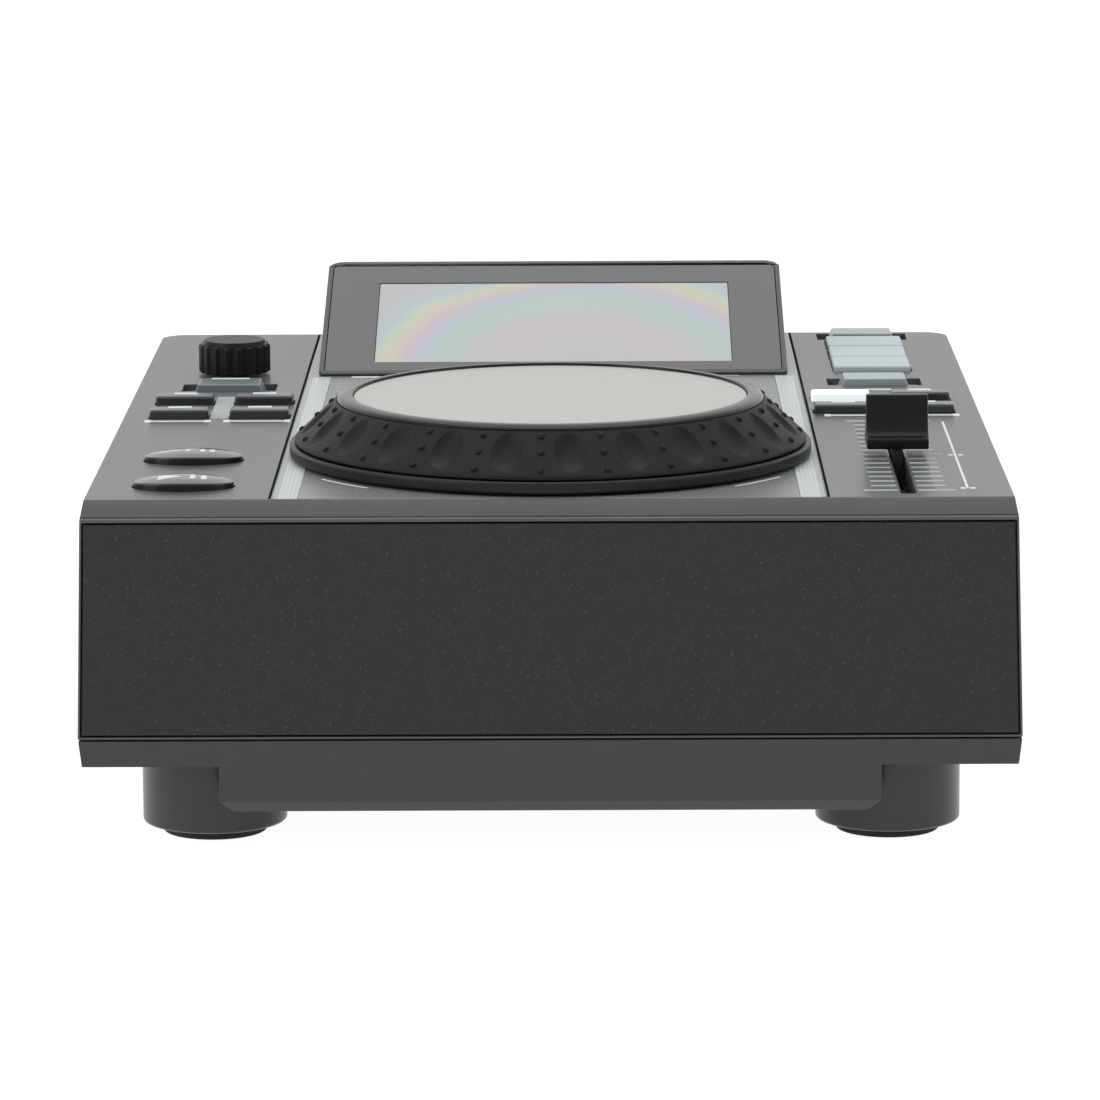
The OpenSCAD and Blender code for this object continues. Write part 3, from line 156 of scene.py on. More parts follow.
bpy.ops.mesh.primitive_plane_add(size=16)
floor = bpy.context.object
floor.name = "studio_floor"
paper = bpy.data.materials.new("white_paper")
paper.use_nodes = True
tree = paper.node_tree
tree.nodes.clear()
matt = add(tree, "BsdfDiffuse", {"Color": linear("#f0f0f0")})
glow = add(tree, "Emission", {"Color": (1, 1, 1, 1), "Strength": floor_glow})
faint = add(tree, "BsdfDiffuse", {"Color": linear("#909090")})
lit = add(tree, "AddShader", {0: glow.outputs[0], 1: faint.outputs[0]})
both = add(tree, "MixShader", {"Fac": seen_white(tree), 1: matt.outputs[0], 2: lit.outputs[0]})
add(tree, "OutputMaterial", {"Surface": both.outputs[0]})
floor.data.materials.append(paper)
print("floor:", floor.name, "under a world of strength", room_light)

# %% [markdown]
# The light comes from large soft boxes, because a large lamp gives soft shadows and wide,
# calm reflections. One hangs over the deck, one stands at the left and a weaker one at the
# right, which gives the left side its lighter tone. Each is turned to face its target, since
# an area lamp shines along its own -Z axis.

# %% Lamps
def soft_box(name, place, target, size, watts):
    """A square area lamp that faces the target."""
    bpy.ops.object.light_add(type="AREA", location=place)
    lamp = bpy.context.object
    lamp.name = name
    lamp.data.size = size
    lamp.data.energy = watts
    aim = Vector(target) - Vector(place)
    lamp.rotation_euler = aim.to_track_quat("-Z", "Y").to_euler()


soft_box("lamp_over_deck", (0, 0.35, 1.7), (0, 0, 0.08), 1.6, 11)
soft_box("lamp_left", (-1.5, -0.9, 0.9), (0, 0, 0.06), 1.1, 10)
soft_box("lamp_right", (1.7, -0.8, 0.9), (0, 0, 0.06), 1.0, 4)

# %% [markdown]
# ## Helpers for modelling
# Everything below is shaped as by hand: a primitive or a copy of a CAD part is selected,
# some of its edges or faces are picked by their place, and an operator changes them. An
# operator acts on all that is selected, so each step starts with an empty selection.
# Lengths are written in millimetres and turned to metres where Blender gets them. A test
# is a small function that gets the middle of an edge, in mm, and says whether to pick it.

# %% Selecting
def leave_editing():
    """Leave edit mode, so that whole objects can be added, selected or changed."""
    if bpy.context.object and bpy.context.object.mode != "OBJECT":
        bpy.ops.object.mode_set(mode="OBJECT")


def take(piece):
    """Leave edit mode and make one object the only selected one and the active one."""
    leave_editing()
    bpy.ops.object.select_all(action="DESELECT")
    piece.select_set(True)
    bpy.context.view_layer.objects.active = piece
    return piece


def parts_of(kind):
    """The vertices, edges or faces of the active object."""
    mesh = bpy.context.object.data
    return {"VERT": mesh.vertices, "EDGE": mesh.edges, "FACE": mesh.polygons}[kind]


def middle_of(part):
    """The middle of a vertex, an edge or a face, in mm."""
    if not hasattr(part, "vertices"):
        return part.co / MM
    points = bpy.context.object.data.vertices
    return sum((points[i].co for i in part.vertices), Vector()) / len(part.vertices) / MM


def keep_picked(kind, test):
    """Of the parts that are selected, keep those whose middle passes a test."""
    bpy.ops.object.mode_set(mode="OBJECT")
    kept = [part.index for part in parts_of(kind) if part.select and test(middle_of(part))]
    bpy.ops.object.mode_set(mode="EDIT")
    bpy.ops.mesh.select_all(action="DESELECT")
    bpy.ops.object.mode_set(mode="OBJECT")
    for i in kept:
        parts_of(kind)[i].select = True
    bpy.ops.object.mode_set(mode="EDIT")


def pick(kind, test):
    """Edit the active object with only those parts selected whose middle passes a test."""
    bpy.ops.object.mode_set(mode="EDIT")
    bpy.ops.mesh.select_mode(type=kind)
    bpy.ops.mesh.select_all(action="SELECT")
    keep_picked(kind, test)


def everywhere(middle):
    """A test that every edge passes."""
    return True


# %% [markdown]
# Three tools do most of the shaping. A Boolean modifier cuts one form out of another. A
# bevel rounds edges, and only where the faces meet at more than 30 degrees. Weighted normals
# then keep wide faces flat in the light while the small rounds between them shade smoothly.

# %% Shaping
sharp_angle = 30


def shape(piece, kind, **settings):
    """Add one modifier with its settings, and apply it."""
    take(piece)
    bpy.ops.object.modifier_add(type=kind)
    for name, value in settings.items():
        setattr(piece.modifiers[-1], name, value)
    bpy.ops.object.modifier_apply(modifier=piece.modifiers[-1].name)


def cut(piece, tool, kept="DIFFERENCE"):
    """Cut the form of a tool out of a piece, or keep what both share, and drop the tool."""
    shape(piece, "BOOLEAN", object=tool, operation=kept, solver="EXACT")
    bpy.data.objects.remove(tool)


def smooth(piece, angle=35):
    """Shade smooth over edges below an angle, and let wide flat faces stay flat."""
    take(piece)
    bpy.ops.object.shade_smooth_by_angle(angle=math.radians(angle))
    shape(piece, "WEIGHTED_NORMAL", keep_sharp=True)


def soften(piece, radius, where=everywhere, segments=2):
    """Round the sharp edges whose middle passes a test, to a radius in mm."""
    take(piece)
    bpy.ops.object.mode_set(mode="EDIT")
    bpy.ops.mesh.select_mode(type="EDGE")
    bpy.ops.mesh.select_all(action="DESELECT")
    bpy.ops.mesh.edges_select_sharp(sharpness=math.radians(sharp_angle))
    keep_picked("EDGE", where)
    bpy.ops.mesh.bevel(offset=radius * MM, segments=segments, affect="EDGES", clamp_overlap=False)
    smooth(piece)
    return piece


# %% [markdown]
# New pieces start from two forms. A block is a cube stretched between two corners. A turned
# piece starts as a circle: its edges are extruded and scaled ring by ring, like a profile on
# a lathe, and the open end is filled. A hollow one has its last ring bridged to its first.

# %% Starting forms
def block(low, high):
    """A box between two corners in mm, as a start."""
    leave_editing()
    low, high = Vector(low) * MM, Vector(high) * MM
    bpy.ops.mesh.primitive_cube_add(size=1, location=(low + high) / 2, scale=high - low)
    bpy.ops.object.transform_apply(location=True, rotation=True, scale=True)
    return take(bpy.context.object)


def turned(centre, rings, steps=96, hollow=False):
    """A turned shape on an upright axis: a circle carried through rings of (radius, height)."""
    leave_editing()
    (x, y), (radius, height) = centre, rings[0]
    bpy.ops.mesh.primitive_circle_add(
        vertices=steps, radius=radius * MM, location=(x * MM, y * MM, height * MM))
    bpy.ops.object.transform_apply(location=True, rotation=True, scale=True)
    take(bpy.context.object)
    bpy.ops.object.mode_set(mode="EDIT")
    bpy.ops.mesh.select_all(action="SELECT")
    carry(centre, rings)
    bpy.ops.mesh.select_all(action="SELECT")
    if hollow:
        bpy.ops.mesh.region_to_loop()
        bpy.ops.mesh.bridge_edge_loops()
    else:
        bpy.ops.mesh.fill_holes(sides=0)
    bpy.ops.mesh.select_all(action="SELECT")
    bpy.ops.mesh.normals_make_consistent(inside=False)
    return take(bpy.context.object)


def carry(centre, rings):
    """Carry the selected ring of edges on, from the first of the rings to the last."""
    x, y = centre
    for (old_radius, old_height), (radius, height) in zip(rings, rings[1:]):
        bpy.ops.mesh.extrude_edges_move(
            TRANSFORM_OT_translate={"value": (0, 0, (height - old_height) * MM)})
        ratio = radius / old_radius
        bpy.ops.transform.resize(
            value=(ratio, ratio, 1), center_override=(x * MM, y * MM, height * MM))


def bend_of(radius, height, r, start, end, steps=4):
    """Rings along an arc of radius r round (radius, height), from one angle to another."""
    angles = [math.radians(start + (end - start) * i / steps) for i in range(steps + 1)]
    return [(radius + r * math.cos(a), height + r * math.sin(a)) for a in angles]


# %% [markdown]
# A CAD part arrives as loose triangles. A soft copy of it has them merged, its flat faces
# joined and its edges rounded. Each finished piece is named, gets its finish and the body
# that it rides on, so that it moves with its joint, and the CAD parts that it stands for are
# hidden.

# %% Taking and finishing pieces
def corners_of(node):
    """The lowest and highest corner of a CAD part, in mm."""
    return [Vector(corner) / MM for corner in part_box(node)]


def soft_copy(node, radius, where=everywhere, segments=2):
    """Copy a CAD part, merge its loose triangles and round its edges."""
    piece = frame["nodes"][node].copy()
    piece.data = piece.data.copy()
    piece.parent = None
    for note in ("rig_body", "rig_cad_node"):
        del piece[note]
    bpy.context.scene.collection.objects.link(piece)
    take(piece)
    bpy.ops.mesh.customdata_custom_splitnormals_clear()
    bpy.ops.object.mode_set(mode="EDIT")
    bpy.ops.mesh.select_all(action="SELECT")
    bpy.ops.mesh.remove_doubles(threshold=0.02 * MM)
    bpy.ops.mesh.dissolve_limited(angle_limit=math.radians(0.5))
    return soften(piece, radius, where, segments)


def finish_piece(piece, name, body, slot, finish, *nodes):
    """Name a piece, give it its body and its finish, and hide the CAD parts that it stands for."""
    take(piece)
    bpy.ops.object.transform_apply(location=True, rotation=True, scale=True)
    piece.name = name
    piece.data.name = name
    piece.data.materials.clear()
    piece.data.materials.append(finish)
    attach(piece, body)
    if nodes:
        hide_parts(*nodes)
    print(f"{name}: {len(piece.data.polygons)} faces, rides on {body}")
    return piece


# %% [markdown]
# ## Finishes
# Most of the case is ABS, moulded in one piece. Its colour is never quite even and its gloss
# changes a little from place to place, and a fine spark-eroded grain shows at the edges of
# reflections. One function makes that from two noises, and each finish gives its own tones,
# gloss and grain. The patterns read Object coordinates in metres, so a grain of 0.4 mm is a
# noise scale of 1 / 0.0004. The real grain is about 0.1 mm, too fine to show from here, so
# it is drawn a few times as coarse. Polished faces have a faint ripple of 1 or 2 mm instead.

# %% Moulded plastic
def moulded(name, tone, other_tone, gloss, grain, depth, cloud=30, **sockets):
    """Moulded plastic: tone drifts over clouds (mm), gloss and height follow a grain (mm)."""
    finish = bpy.data.materials.new(name)
    finish.use_nodes = True
    tree = finish.node_tree
    tree.nodes.clear()
    place = add(tree, "TexCoord").outputs["Object"]
    clouds = add(tree, "TexNoise", {"Vector": place, "Scale": 1 / (cloud * MM), "Detail": 3})
    grains = add(tree, "TexNoise", {"Vector": place, "Scale": 1 / (grain * MM), "Detail": 2})
    colour = add(tree, "Mix", {0: clouds.outputs["Fac"], 6: linear(tone), 7: linear(other_tone)},
                 data_type="RGBA")
    rough = add(tree, "MapRange", {"Value": grains.outputs["Fac"], "From Min": 0.3, "From Max": 0.7,
                                   "To Min": gloss - 0.04, "To Max": gloss + 0.04})
    bumps = add(tree, "Bump", {"Height": grains.outputs["Fac"], "Strength": 1,
                               "Distance": depth * MM})
    skin = add(tree, "BsdfPrincipled", {"Base Color": colour.outputs[2],
                                        "Roughness": rough.outputs[0],
                                        "Normal": bumps.outputs[0]})
    for socket, value in sockets.items():
        skin.inputs[socket.replace("_", " ")].default_value = value
    add(tree, "OutputMaterial", {"Surface": skin.outputs[0]})
    return finish


# %% Plastics of the case
# The shell is ABS with a satin gunmetal paint: soft mirror at a low angle, dark from above
shell_paint = moulded("gunmetal_paint_on_abs", "#4b4b4d", "#535352", 0.33, 0.35, 0.004)
# The plate in the middle has the same paint, rolled smoother, so it mirrors the wheel
# Its tone is much lighter than the shell's: painted sheen, for the bright reflection it shows at a
# low angle
plate_paint_lightened = moulded("gunmetal_paint_smooth", "#7c7e80", "#868887", 0.28, 0.5, 0.001)
# The base is bare charcoal ABS with a coarser spark-eroded grain, so it mirrors little
base_abs = moulded("charcoal_abs_textured", "#323236", "#3a3a3e", 0.5, 0.7, 0.02, cloud=6)
# Feet: the same ABS from a polished tool, with a sheen along their sides
foot_abs = moulded("charcoal_abs_polished", "#2c2c2e", "#353537", 0.3, 0.5, 0.003, cloud=15)
# Pads: black rubber, dull and a little dusty
pad_rubber = moulded("black_rubber", "#171718", "#202021", 0.75, 0.3, 0.01, cloud=5)
# The screen's housing is satin black ABS, its bezel the same from a mirror-polished tool
housing_abs = moulded("black_abs_satin", "#2e2e30", "#363638", 0.34, 0.4, 0.004)
bezel_abs = moulded("black_abs_mirror", "#333437", "#38393c", 0.12, 2.0, 0.001, IOR=1.8)
print("materials so far:", len(bpy.data.materials))

# %% [markdown]
# The wheel and the keys are darker than the case. At the low angle of the camera even black
# plastic mirrors the white room, so the dullest of them also have less specular light than
# the usual 0.5: their fine grain traps it.

# %% Plastics of the wheel and the keys
# Grip of the wheel: soft dark rubber with a velvety surface
grip_rubber = moulded("soft_grip_rubber", "#131315", "#1a1a1c", 0.5, 0.5, 0.008, cloud=8,
                      Specular_IOR_Level=0.16)
# Skirt: dark ABS with a fine satin grain, a shade darker than the grip
skirt_abs = moulded("dark_skirt_abs", "#0e0e10", "#141416", 0.38, 0.4, 0.003,
                    Specular_IOR_Level=0.25)
# Ring: black ABS from a polished tool, with a sheen that runs along its crown
ring_abs = moulded("black_ring_gloss", "#111110", "#161614", 0.2, 1.0, 0.001,
                   Specular_IOR_Level=0.2)
# Transport keys: gloss black ABS, which mirrors the room along the top of the dome
gloss_key = moulded("black_abs_gloss", "#0b0b0d", "#101012", 0.12, 1.0, 0.001)
# Small keys: dark ABS with a satin face, and the saddle keys the same in two greys
dark_key = moulded("dark_key_abs", "#232729", "#2b2f31", 0.25, 0.4, 0.003)
grey_key = moulded("grey_key_abs", "#6d787c", "#798387", 0.3, 0.4, 0.003)
pale_key = moulded("pale_grey_key_abs", "#99a3a5", "#a4adaf", 0.3, 0.4, 0.003)
# The white key glows faintly: a painted glow, not a lamp, that lightens its top
glowing_white_key = moulded("lit_white_key_abs", "#e4eeee", "#eaf3f3", 0.35, 0.4, 0.002,
                    Emission_Color=linear("#eef6f6"), Emission_Strength=0.55)
# Pads: milky silicone, satin from the mould, a soft blueish white
pad_key = moulded("translucent_pad_silicone", "#b4c3c7", "#c3d0d3", 0.4, 0.5, 0.003)
# The knob is soft black rubber and the fader cap black ABS: both hardly mirror anything
knob_abs = moulded("black_knob_rubber", "#09090b", "#0f0f11", 0.4, 0.3, 0.005,
                   Specular_IOR_Level=0.2)
cap_abs = moulded("fader_cap_abs", "#08090a", "#0e0f10", 0.3, 0.4, 0.003,
                  Specular_IOR_Level=0.18)
print("materials so far:", len(bpy.data.materials))

# %% [markdown]
# The remaining finishes are thin or out of sight: printed film and screen inks on the deck,
# and the usual plastics of boards, cables and sockets.

# %% Films, inks and inner plastics
# Strips: pale printed film with a satin face, a little uneven along its length
strip_film = moulded("pale_strip_film", "#c3cbc9", "#ced5d3", 0.4, 0.3, 0.002, cloud=12)
# Screen inks dry to a dull, even coat: white for lines and grey for ticks
white_ink = moulded("white_screen_ink", "#e6eaea", "#f2f5f5", 0.45, 0.2, 0.002, cloud=3)
grey_ink = moulded("grey_screen_ink", "#a3a9a9", "#b2b7b7", 0.45, 0.2, 0.002, cloud=3)
# The dark bars between the ticks are painted shade near the slot, in the same dull coat
painted_shade_finish = moulded("dark_screen_ink", "#47494b", "#525456", 0.45, 0.2, 0.002, cloud=3)
# Boards: green solder mask over glass fibre. Cables: grey PVC. Sockets: dull black nylon
board_mask = moulded("green_solder_mask", "#17402b", "#1f5137", 0.35, 1.0, 0.01, cloud=4)
cable_pvc = moulded("grey_ribbon_pvc", "#8d9192", "#9ba0a1", 0.45, 0.6, 0.005)
socket_nylon = moulded("black_socket_nylon", "#161617", "#1d1d1e", 0.45, 0.3, 0.005)
print("materials so far:", len(bpy.data.materials))

# %% [markdown]
# ## Metals
# The wheel's disc is aluminium, blasted with fine beads so that it scatters light, then
# anodised clear. The other metals are plain: steel for the spindle and screws, bronze for
# the bearing, gold on the sockets. A metal's colour is the colour of its reflections, so it
# needs only a tone, a gloss and the marks that its making left.

# %% Metal
def metal(name, tone, gloss, spread, mark, depth):
    """Metal whose gloss varies by spread over marks of a size in mm."""
    finish = bpy.data.materials.new(name)
    finish.use_nodes = True
    tree = finish.node_tree
    tree.nodes.clear()
    place = add(tree, "TexCoord").outputs["Object"]
    marks = add(tree, "TexNoise", {"Vector": place, "Scale": 1 / (mark * MM), "Detail": 4})
    rough = add(tree, "MapRange", {"Value": marks.outputs["Fac"], "From Min": 0.3, "From Max": 0.7,
                                   "To Min": gloss - spread, "To Max": gloss + spread})
    bumps = add(tree, "Bump", {"Height": marks.outputs["Fac"], "Strength": 1,
                               "Distance": depth * MM})
    skin = add(tree, "BsdfPrincipled", {"Base Color": linear(tone), "Metallic": 1.0,
                                        "Roughness": rough.outputs[0],
                                        "Normal": bumps.outputs[0]})
    add(tree, "OutputMaterial", {"Surface": skin.outputs[0]})
    return finish


# The disc: bead marks about 0.4 mm apart scatter the light to an even, pale grey
blasted_aluminium = metal("bead_blasted_aluminium", "#b2b2af", 0.5, 0.03, 0.4, 0.002)
# Spindle, screws and shields: bright steel with faint tool marks
steel = metal("bright_steel", "#b6b8bb", 0.28, 0.08, 0.8, 0.001)
# The bearing: bronze pressed from powder, dull and finely porous
bronze = metal("sintered_bronze", "#a07a45", 0.42, 0.06, 0.3, 0.004)
# The sockets: a thin bright coat of gold
gold = metal("gold_plating", "#d6ac55", 0.2, 0.04, 0.5, 0.001)
print("metals:", [m.name for m in (blasted_aluminium, steel, bronze, gold)])

# %% [markdown]
# ## Display glass
# The display is switched off. Its front is a pale grey reflective film under glass, and the
# stressed film splits the light into faint rainbow arcs. The arcs are drawn from the
# distance to a point near the glass's front edge, bent a little by a noise, and turned into
# tones that hardly differ. The glass over the film is smooth, so it mirrors the room faintly.

# %% Display
glass_low, glass_high = corners_of("lcd_glass")
arc_x, arc_in, arc_up = 8, 5, 2
arc_centre = (arc_x * MM, (glass_low.y + arc_in) * MM, (glass_low.z + arc_up) * MM)
arc_reach, arc_drift, drift_size = 64, 12, 40
arc_tones = {0.0: "#c3c1c1", 0.4: "#c8c0c4", 0.5: "#bcc8c1", 0.6: "#b7c9c4", 0.66: "#bac3ce",
             0.72: "#cabcc8", 0.78: "#d2c6b7", 0.84: "#c9cfb4", 0.9: "#b7c6cb", 1.0: "#c0bfc0"}

display_glass = bpy.data.materials.new("display_glass_over_grey_film")
display_glass.use_nodes = True
tree = display_glass.node_tree
tree.nodes.clear()
place = add(tree, "TexCoord").outputs["Object"]
reach = add(tree, "VectorMath", {0: place, 1: arc_centre}, operation="DISTANCE")
drift = add(tree, "TexNoise", {"Vector": place, "Scale": 1 / (drift_size * MM), "Detail": 1})
bent = add(tree, "Math", {0: drift.outputs["Fac"], 1: arc_drift * MM, 2: reach.outputs["Value"]},
           operation="MULTIPLY_ADD")
part = add(tree, "MapRange", {"Value": bent.outputs[0], "From Min": arc_drift / 2 * MM,
                              "From Max": (arc_reach + arc_drift / 2) * MM})
bands = add(tree, "ValToRGB", {"Fac": part.outputs[0]})
elements = bands.color_ramp.elements
elements.remove(elements[1])
for i, (stop, tone) in enumerate(arc_tones.items()):
    element = elements[0] if i == 0 else elements.new(stop)
    element.position = stop
    element.color = linear(tone)
skin = add(tree, "BsdfPrincipled", {"Base Color": bands.outputs["Color"], "Roughness": 0.12})
add(tree, "OutputMaterial", {"Surface": skin.outputs[0]})
print("display arcs centred at", [round(c / MM) for c in arc_centre], "mm")

# %% [markdown]
# ## The front panel's grain
# The front panel is a separate moulding with a leather-like grain, as tools get it by
# etching: small rounded islands with fine valleys, here about 0.9 mm apart, and a few
# lighter specks where the islands are rubbed. The islands are a Voronoi pattern, rounded.

# %% Etched grain
island_size, mottle_size, speck_size = 0.9, 2.6, 0.8
grain_depth = 0.03
etched_abs = bpy.data.materials.new("charcoal_abs_etched_grain")
etched_abs.use_nodes = True
tree = etched_abs.node_tree
tree.nodes.clear()
place = add(tree, "TexCoord").outputs["Object"]
islands = add(tree, "TexVoronoi",
              {"Vector": place, "Scale": 1 / (island_size * MM), "Smoothness": 0.6},
              feature="SMOOTH_F1")
mottle = add(tree, "TexNoise", {"Vector": place, "Scale": 1 / (mottle_size * MM), "Detail": 5,
                                "Roughness": 0.65})
rubbed = add(tree, "TexNoise", {"Vector": place, "Scale": 1 / (speck_size * MM), "Detail": 1})
specks = add(tree, "MapRange", {"Value": rubbed.outputs["Fac"], "From Min": 0.62, "From Max": 0.85})
ground = add(tree, "Mix", {0: mottle.outputs["Fac"], 6: linear("#161619"), 7: linear("#27272b")},
             data_type="RGBA")
colour = add(tree, "Mix", {0: specks.outputs[0], 6: ground.outputs[2], 7: linear("#404045")},
             data_type="RGBA")
height = add(tree, "Math", {0: mottle.outputs["Fac"], 1: 0.6, 2: islands.outputs["Distance"]},
             operation="MULTIPLY_ADD")
bumps = add(tree, "Bump", {"Height": height.outputs[0], "Strength": 1,
                            "Distance": grain_depth * MM}, invert=True)
skin = add(tree, "BsdfPrincipled", {"Base Color": colour.outputs[2], "Roughness": 0.48,
                                    "Specular IOR Level": 0.36, "Normal": bumps.outputs[0]})
add(tree, "OutputMaterial", {"Surface": skin.outputs[0]})
print("materials:", len(bpy.data.materials))

# %% [markdown]
# ## The shell
# The upper shell is one moulding: side walls that lean in a little, a slanted edge at the
# front and back, round rear corners and a hole for every key. The CAD shape is right, so it
# is copied and its outer edges get the small radius that any moulding has, because only a
# rounded edge catches a line of light. A fine groove is cut along the front, where it parts
# the slanted edge from the lip below it.

# %% Shell
shell_low, shell_high = corners_of("top_shell")
deck_z = shell_high.z
front_y = shell_low.y
edge_r = 0.2
side_x, upper_side_x = 109, 108          # the walls lean in, so their top lies further in
slanted_h, end_depth = 5, 4.4            # how far down and in the slanted edges reach
lip_drop, groove_h, groove_deep = 3.85, 0.3, 0.95


def outer_edge(middle):
    """Edges of the shell that show: the top, the front, the back and the side walls."""
    on_deck = middle.z > deck_z - 0.6
    on_ends = abs(middle.y) > -front_y - end_depth
    on_sides = abs(middle.x) > (upper_side_x if middle.z > deck_z - slanted_h else side_x)
    return on_deck or on_ends or on_sides


shell = soft_copy("top_shell", edge_r, outer_edge)
lip_z = deck_z - lip_drop
cut(shell, block((shell_low.x - 1, front_y - 1, lip_z),
                 (shell_high.x + 1, front_y + groove_deep, lip_z + groove_h)))
smooth(shell)
finish_piece(shell, "shell", "case", "shell_plastic", shell_paint, "top_shell")

# %% [markdown]
# ## The base and the housing of the screen
# The base is a second moulding with a belly between the feet, and the screen sits in a wedge
# that stands on the deck. Both keep their CAD shape too. Only the edges that show are
# rounded: the base's below the seam, and the wedge's above the deck.

# %% Base and housing
tray_top = corners_of("bottom_tray")[1].z
tray = soft_copy("bottom_tray", 0.25, lambda m: m.z < tray_top - 1)
finish_piece(tray, "base", "case", "tray_plastic", base_abs, "bottom_tray")
housing = soft_copy("screen_housing", 0.35, lambda m: m.z > deck_z - 1)
finish_piece(housing, "screen_housing_shell", "case", "screen_plastic", housing_abs,
             "screen_housing")

# %% [markdown]
# ## The middle plate
# The plate between the two grooves is cut from a flat block. The Boolean modifier cuts the
# wheel's bore, the well under the screen and the shallow seats of the pale strips out of it.

# %% Middle plate
plate_low, plate_high = corners_of("centre_deck")
strips_low, strips_high = corners_of("side_strips")
disc_low, disc_high = corners_of("jog_disc")
axis = (0.0, (disc_low.y + disc_high.y) / 2)       # the wheel's upright axis
plate_t = 2.2
strip_w, seat_gap = 6.0, 0.1
bore_r, through = 11.4, 5
well_x, well_front, well_rear = 53, 57.4, 124.2
plate = block((plate_low.x, plate_low.y, deck_z - plate_t), (plate_high.x, plate_high.y, deck_z))
for side in (-1, 1):
    inner = side * (strips_high.x - strip_w - seat_gap)
    outer = side * (strips_high.x + seat_gap)
    cut(plate, block((min(inner, outer), strips_low.y - 1, strips_low.z - seat_gap),
                     (max(inner, outer), strips_high.y + seat_gap, deck_z + through)))
cut(plate, turned(axis, [(bore_r, deck_z - through), (bore_r, deck_z + through)]))
cut(plate, block((-well_x, well_front, deck_z - through), (well_x, well_rear, deck_z + through)))
soften(plate, 0.15, lambda m: abs(m.x) > plate_high.x - 0.05 or abs(m.y) > plate_high.y - 0.05)
finish_piece(plate, "deck_plate", "case", "deck_plastic", plate_paint_lightened, "centre_deck")

# %% [markdown]
# ## The front panel
# A flat panel with slanted ends sits in a shadow gap of the shell. It starts as a block,
# its top edge is drawn in to follow the leaning walls, and its front edges are rounded.

# %% Front panel
panel_low, panel_high = corners_of("front_panel")
panel_t = 2.5
wall_lean, wall_h = 1.35, 52.3
lean = wall_lean / wall_h          # how far the walls lean in, per mm of height
panel = block(panel_low, (panel_high.x, panel_low.y + panel_t, panel_high.z))
pick("VERT", lambda m: m.z > panel_high.z - 1)
drawn_in = 1 - lean * (panel_high.z - panel_low.z) / panel_high.x
bpy.ops.transform.resize(value=(drawn_in, 1, 1), center_override=(0, 0, 0))
soften(panel, 0.3, lambda m: m.y < panel_low.y + 0.1, segments=3)
finish_piece(panel, "front_panel_grained", "case", "panel_plastic", etched_abs, "front_panel")

# %% [markdown]
# ## Feet
# The feet are turned: a straight side, a small round at the lower edge and a seat for the
# rubber pad. The pad's lower edge is rounded too, and two shallow rings are moulded in its
# underside, which keep it from sticking to the table.

# %% Feet and pads
top_edge_r, foot_edge_r = 0.3, 1.0
pad_r, pad_edge_r, pad_gap, pad_seat = 12.5, 0.6, 0.1, 1.6
foot_names = ["front_left", "front_right", "rear_left", "rear_right"]
ring_grooves = [(groove_r + w, z) for groove_r in (9.0, 5.0)
                for w, z in ((0.6, 0), (0.3, 0.5), (-0.3, 0.5), (-0.6, 0))]
for which in foot_names:
    low, high = corners_of("foot_" + which)
    centre = ((low.x + high.x) / 2, (low.y + high.y) / 2)
    r = (high.x - low.x) / 2
    seat_r = pad_r + pad_gap
    foot_rings = ([(r - top_edge_r, high.z), (r, high.z - top_edge_r)]
                  + bend_of(r - foot_edge_r, low.z + foot_edge_r, foot_edge_r, 0, -90, 5)
                  + [(seat_r + 0.3, low.z), (seat_r, low.z + 0.3), (seat_r, low.z + pad_seat)])
    foot = turned(centre, foot_rings)
    smooth(foot)
    finish_piece(foot, "foot_" + which + "_turned", "case", "foot_plastic", foot_abs,
                 "foot_" + which)
    pad_rings = ([(pad_r, low.z + pad_seat - pad_gap)]
                 + bend_of(pad_r - pad_edge_r, pad_edge_r, pad_edge_r, 0, -90) + ring_grooves)
    pad = turned(centre, pad_rings, steps=64)
    smooth(pad)
    finish_piece(pad, "foot_pad_" + which, "case", "rubber_black", pad_rubber, "foot_pads")

# %% [markdown]
# ## Screen
# The bezel is a thin frame of mirror-polished black plastic with round corners, and the
# display's glass lies a little below it. The frame is copied and its upper edges are
# rounded: those are the edges whose middle lies on the tilted face. The glass is built flat,
# where its edges are easy to name, and tilted onto the slope at the end, about the front
# edge of the tilted face.

# %% Bezel and glass
slope = math.radians(15.15)
foot_rise = 0.9
screen_foot = Vector((0, corners_of("screen_housing")[0].y, deck_z + foot_rise))
bezel_t, glass_half = 1.2, glass_high.x
glass_start, glass_length, glass_sunk = 7.35, 54.2, 0.3


def on_face(middle):
    """Whether an edge lies on the tilted face of the screen."""
    off = middle - screen_foot
    return abs(off.z * math.cos(slope) - off.y * math.sin(slope)) < 0.05


def onto_slope(piece):
    """Tilt a flat piece about its front edge and carry it to the front edge of the screen."""
    take(piece)
    piece.rotation_euler = (slope, 0, 0)
    piece.location = screen_foot * MM
    bpy.ops.object.transform_apply(location=True, rotation=True, scale=True)
    return piece


bezel = soft_copy("screen_bezel", 0.25, on_face, 3)
finish_piece(bezel, "bezel_polished", "case", "gloss_black", bezel_abs, "screen_bezel")

glass = block((-glass_half, glass_start, -bezel_t),
              (glass_half, glass_start + glass_length, -glass_sunk))
soften(glass, 0.15, lambda m: m.z > -0.5)
finish_piece(onto_slope(glass), "display_pane", "case", "display_glass", display_glass, "lcd_glass")

# %% [markdown]
# ## Pale strips
# Two pale strips are let into the deck plate. Each is a thin film with fine lines pressed
# along it, a millimetre apart: slim blocks cut them into the rounded strip.

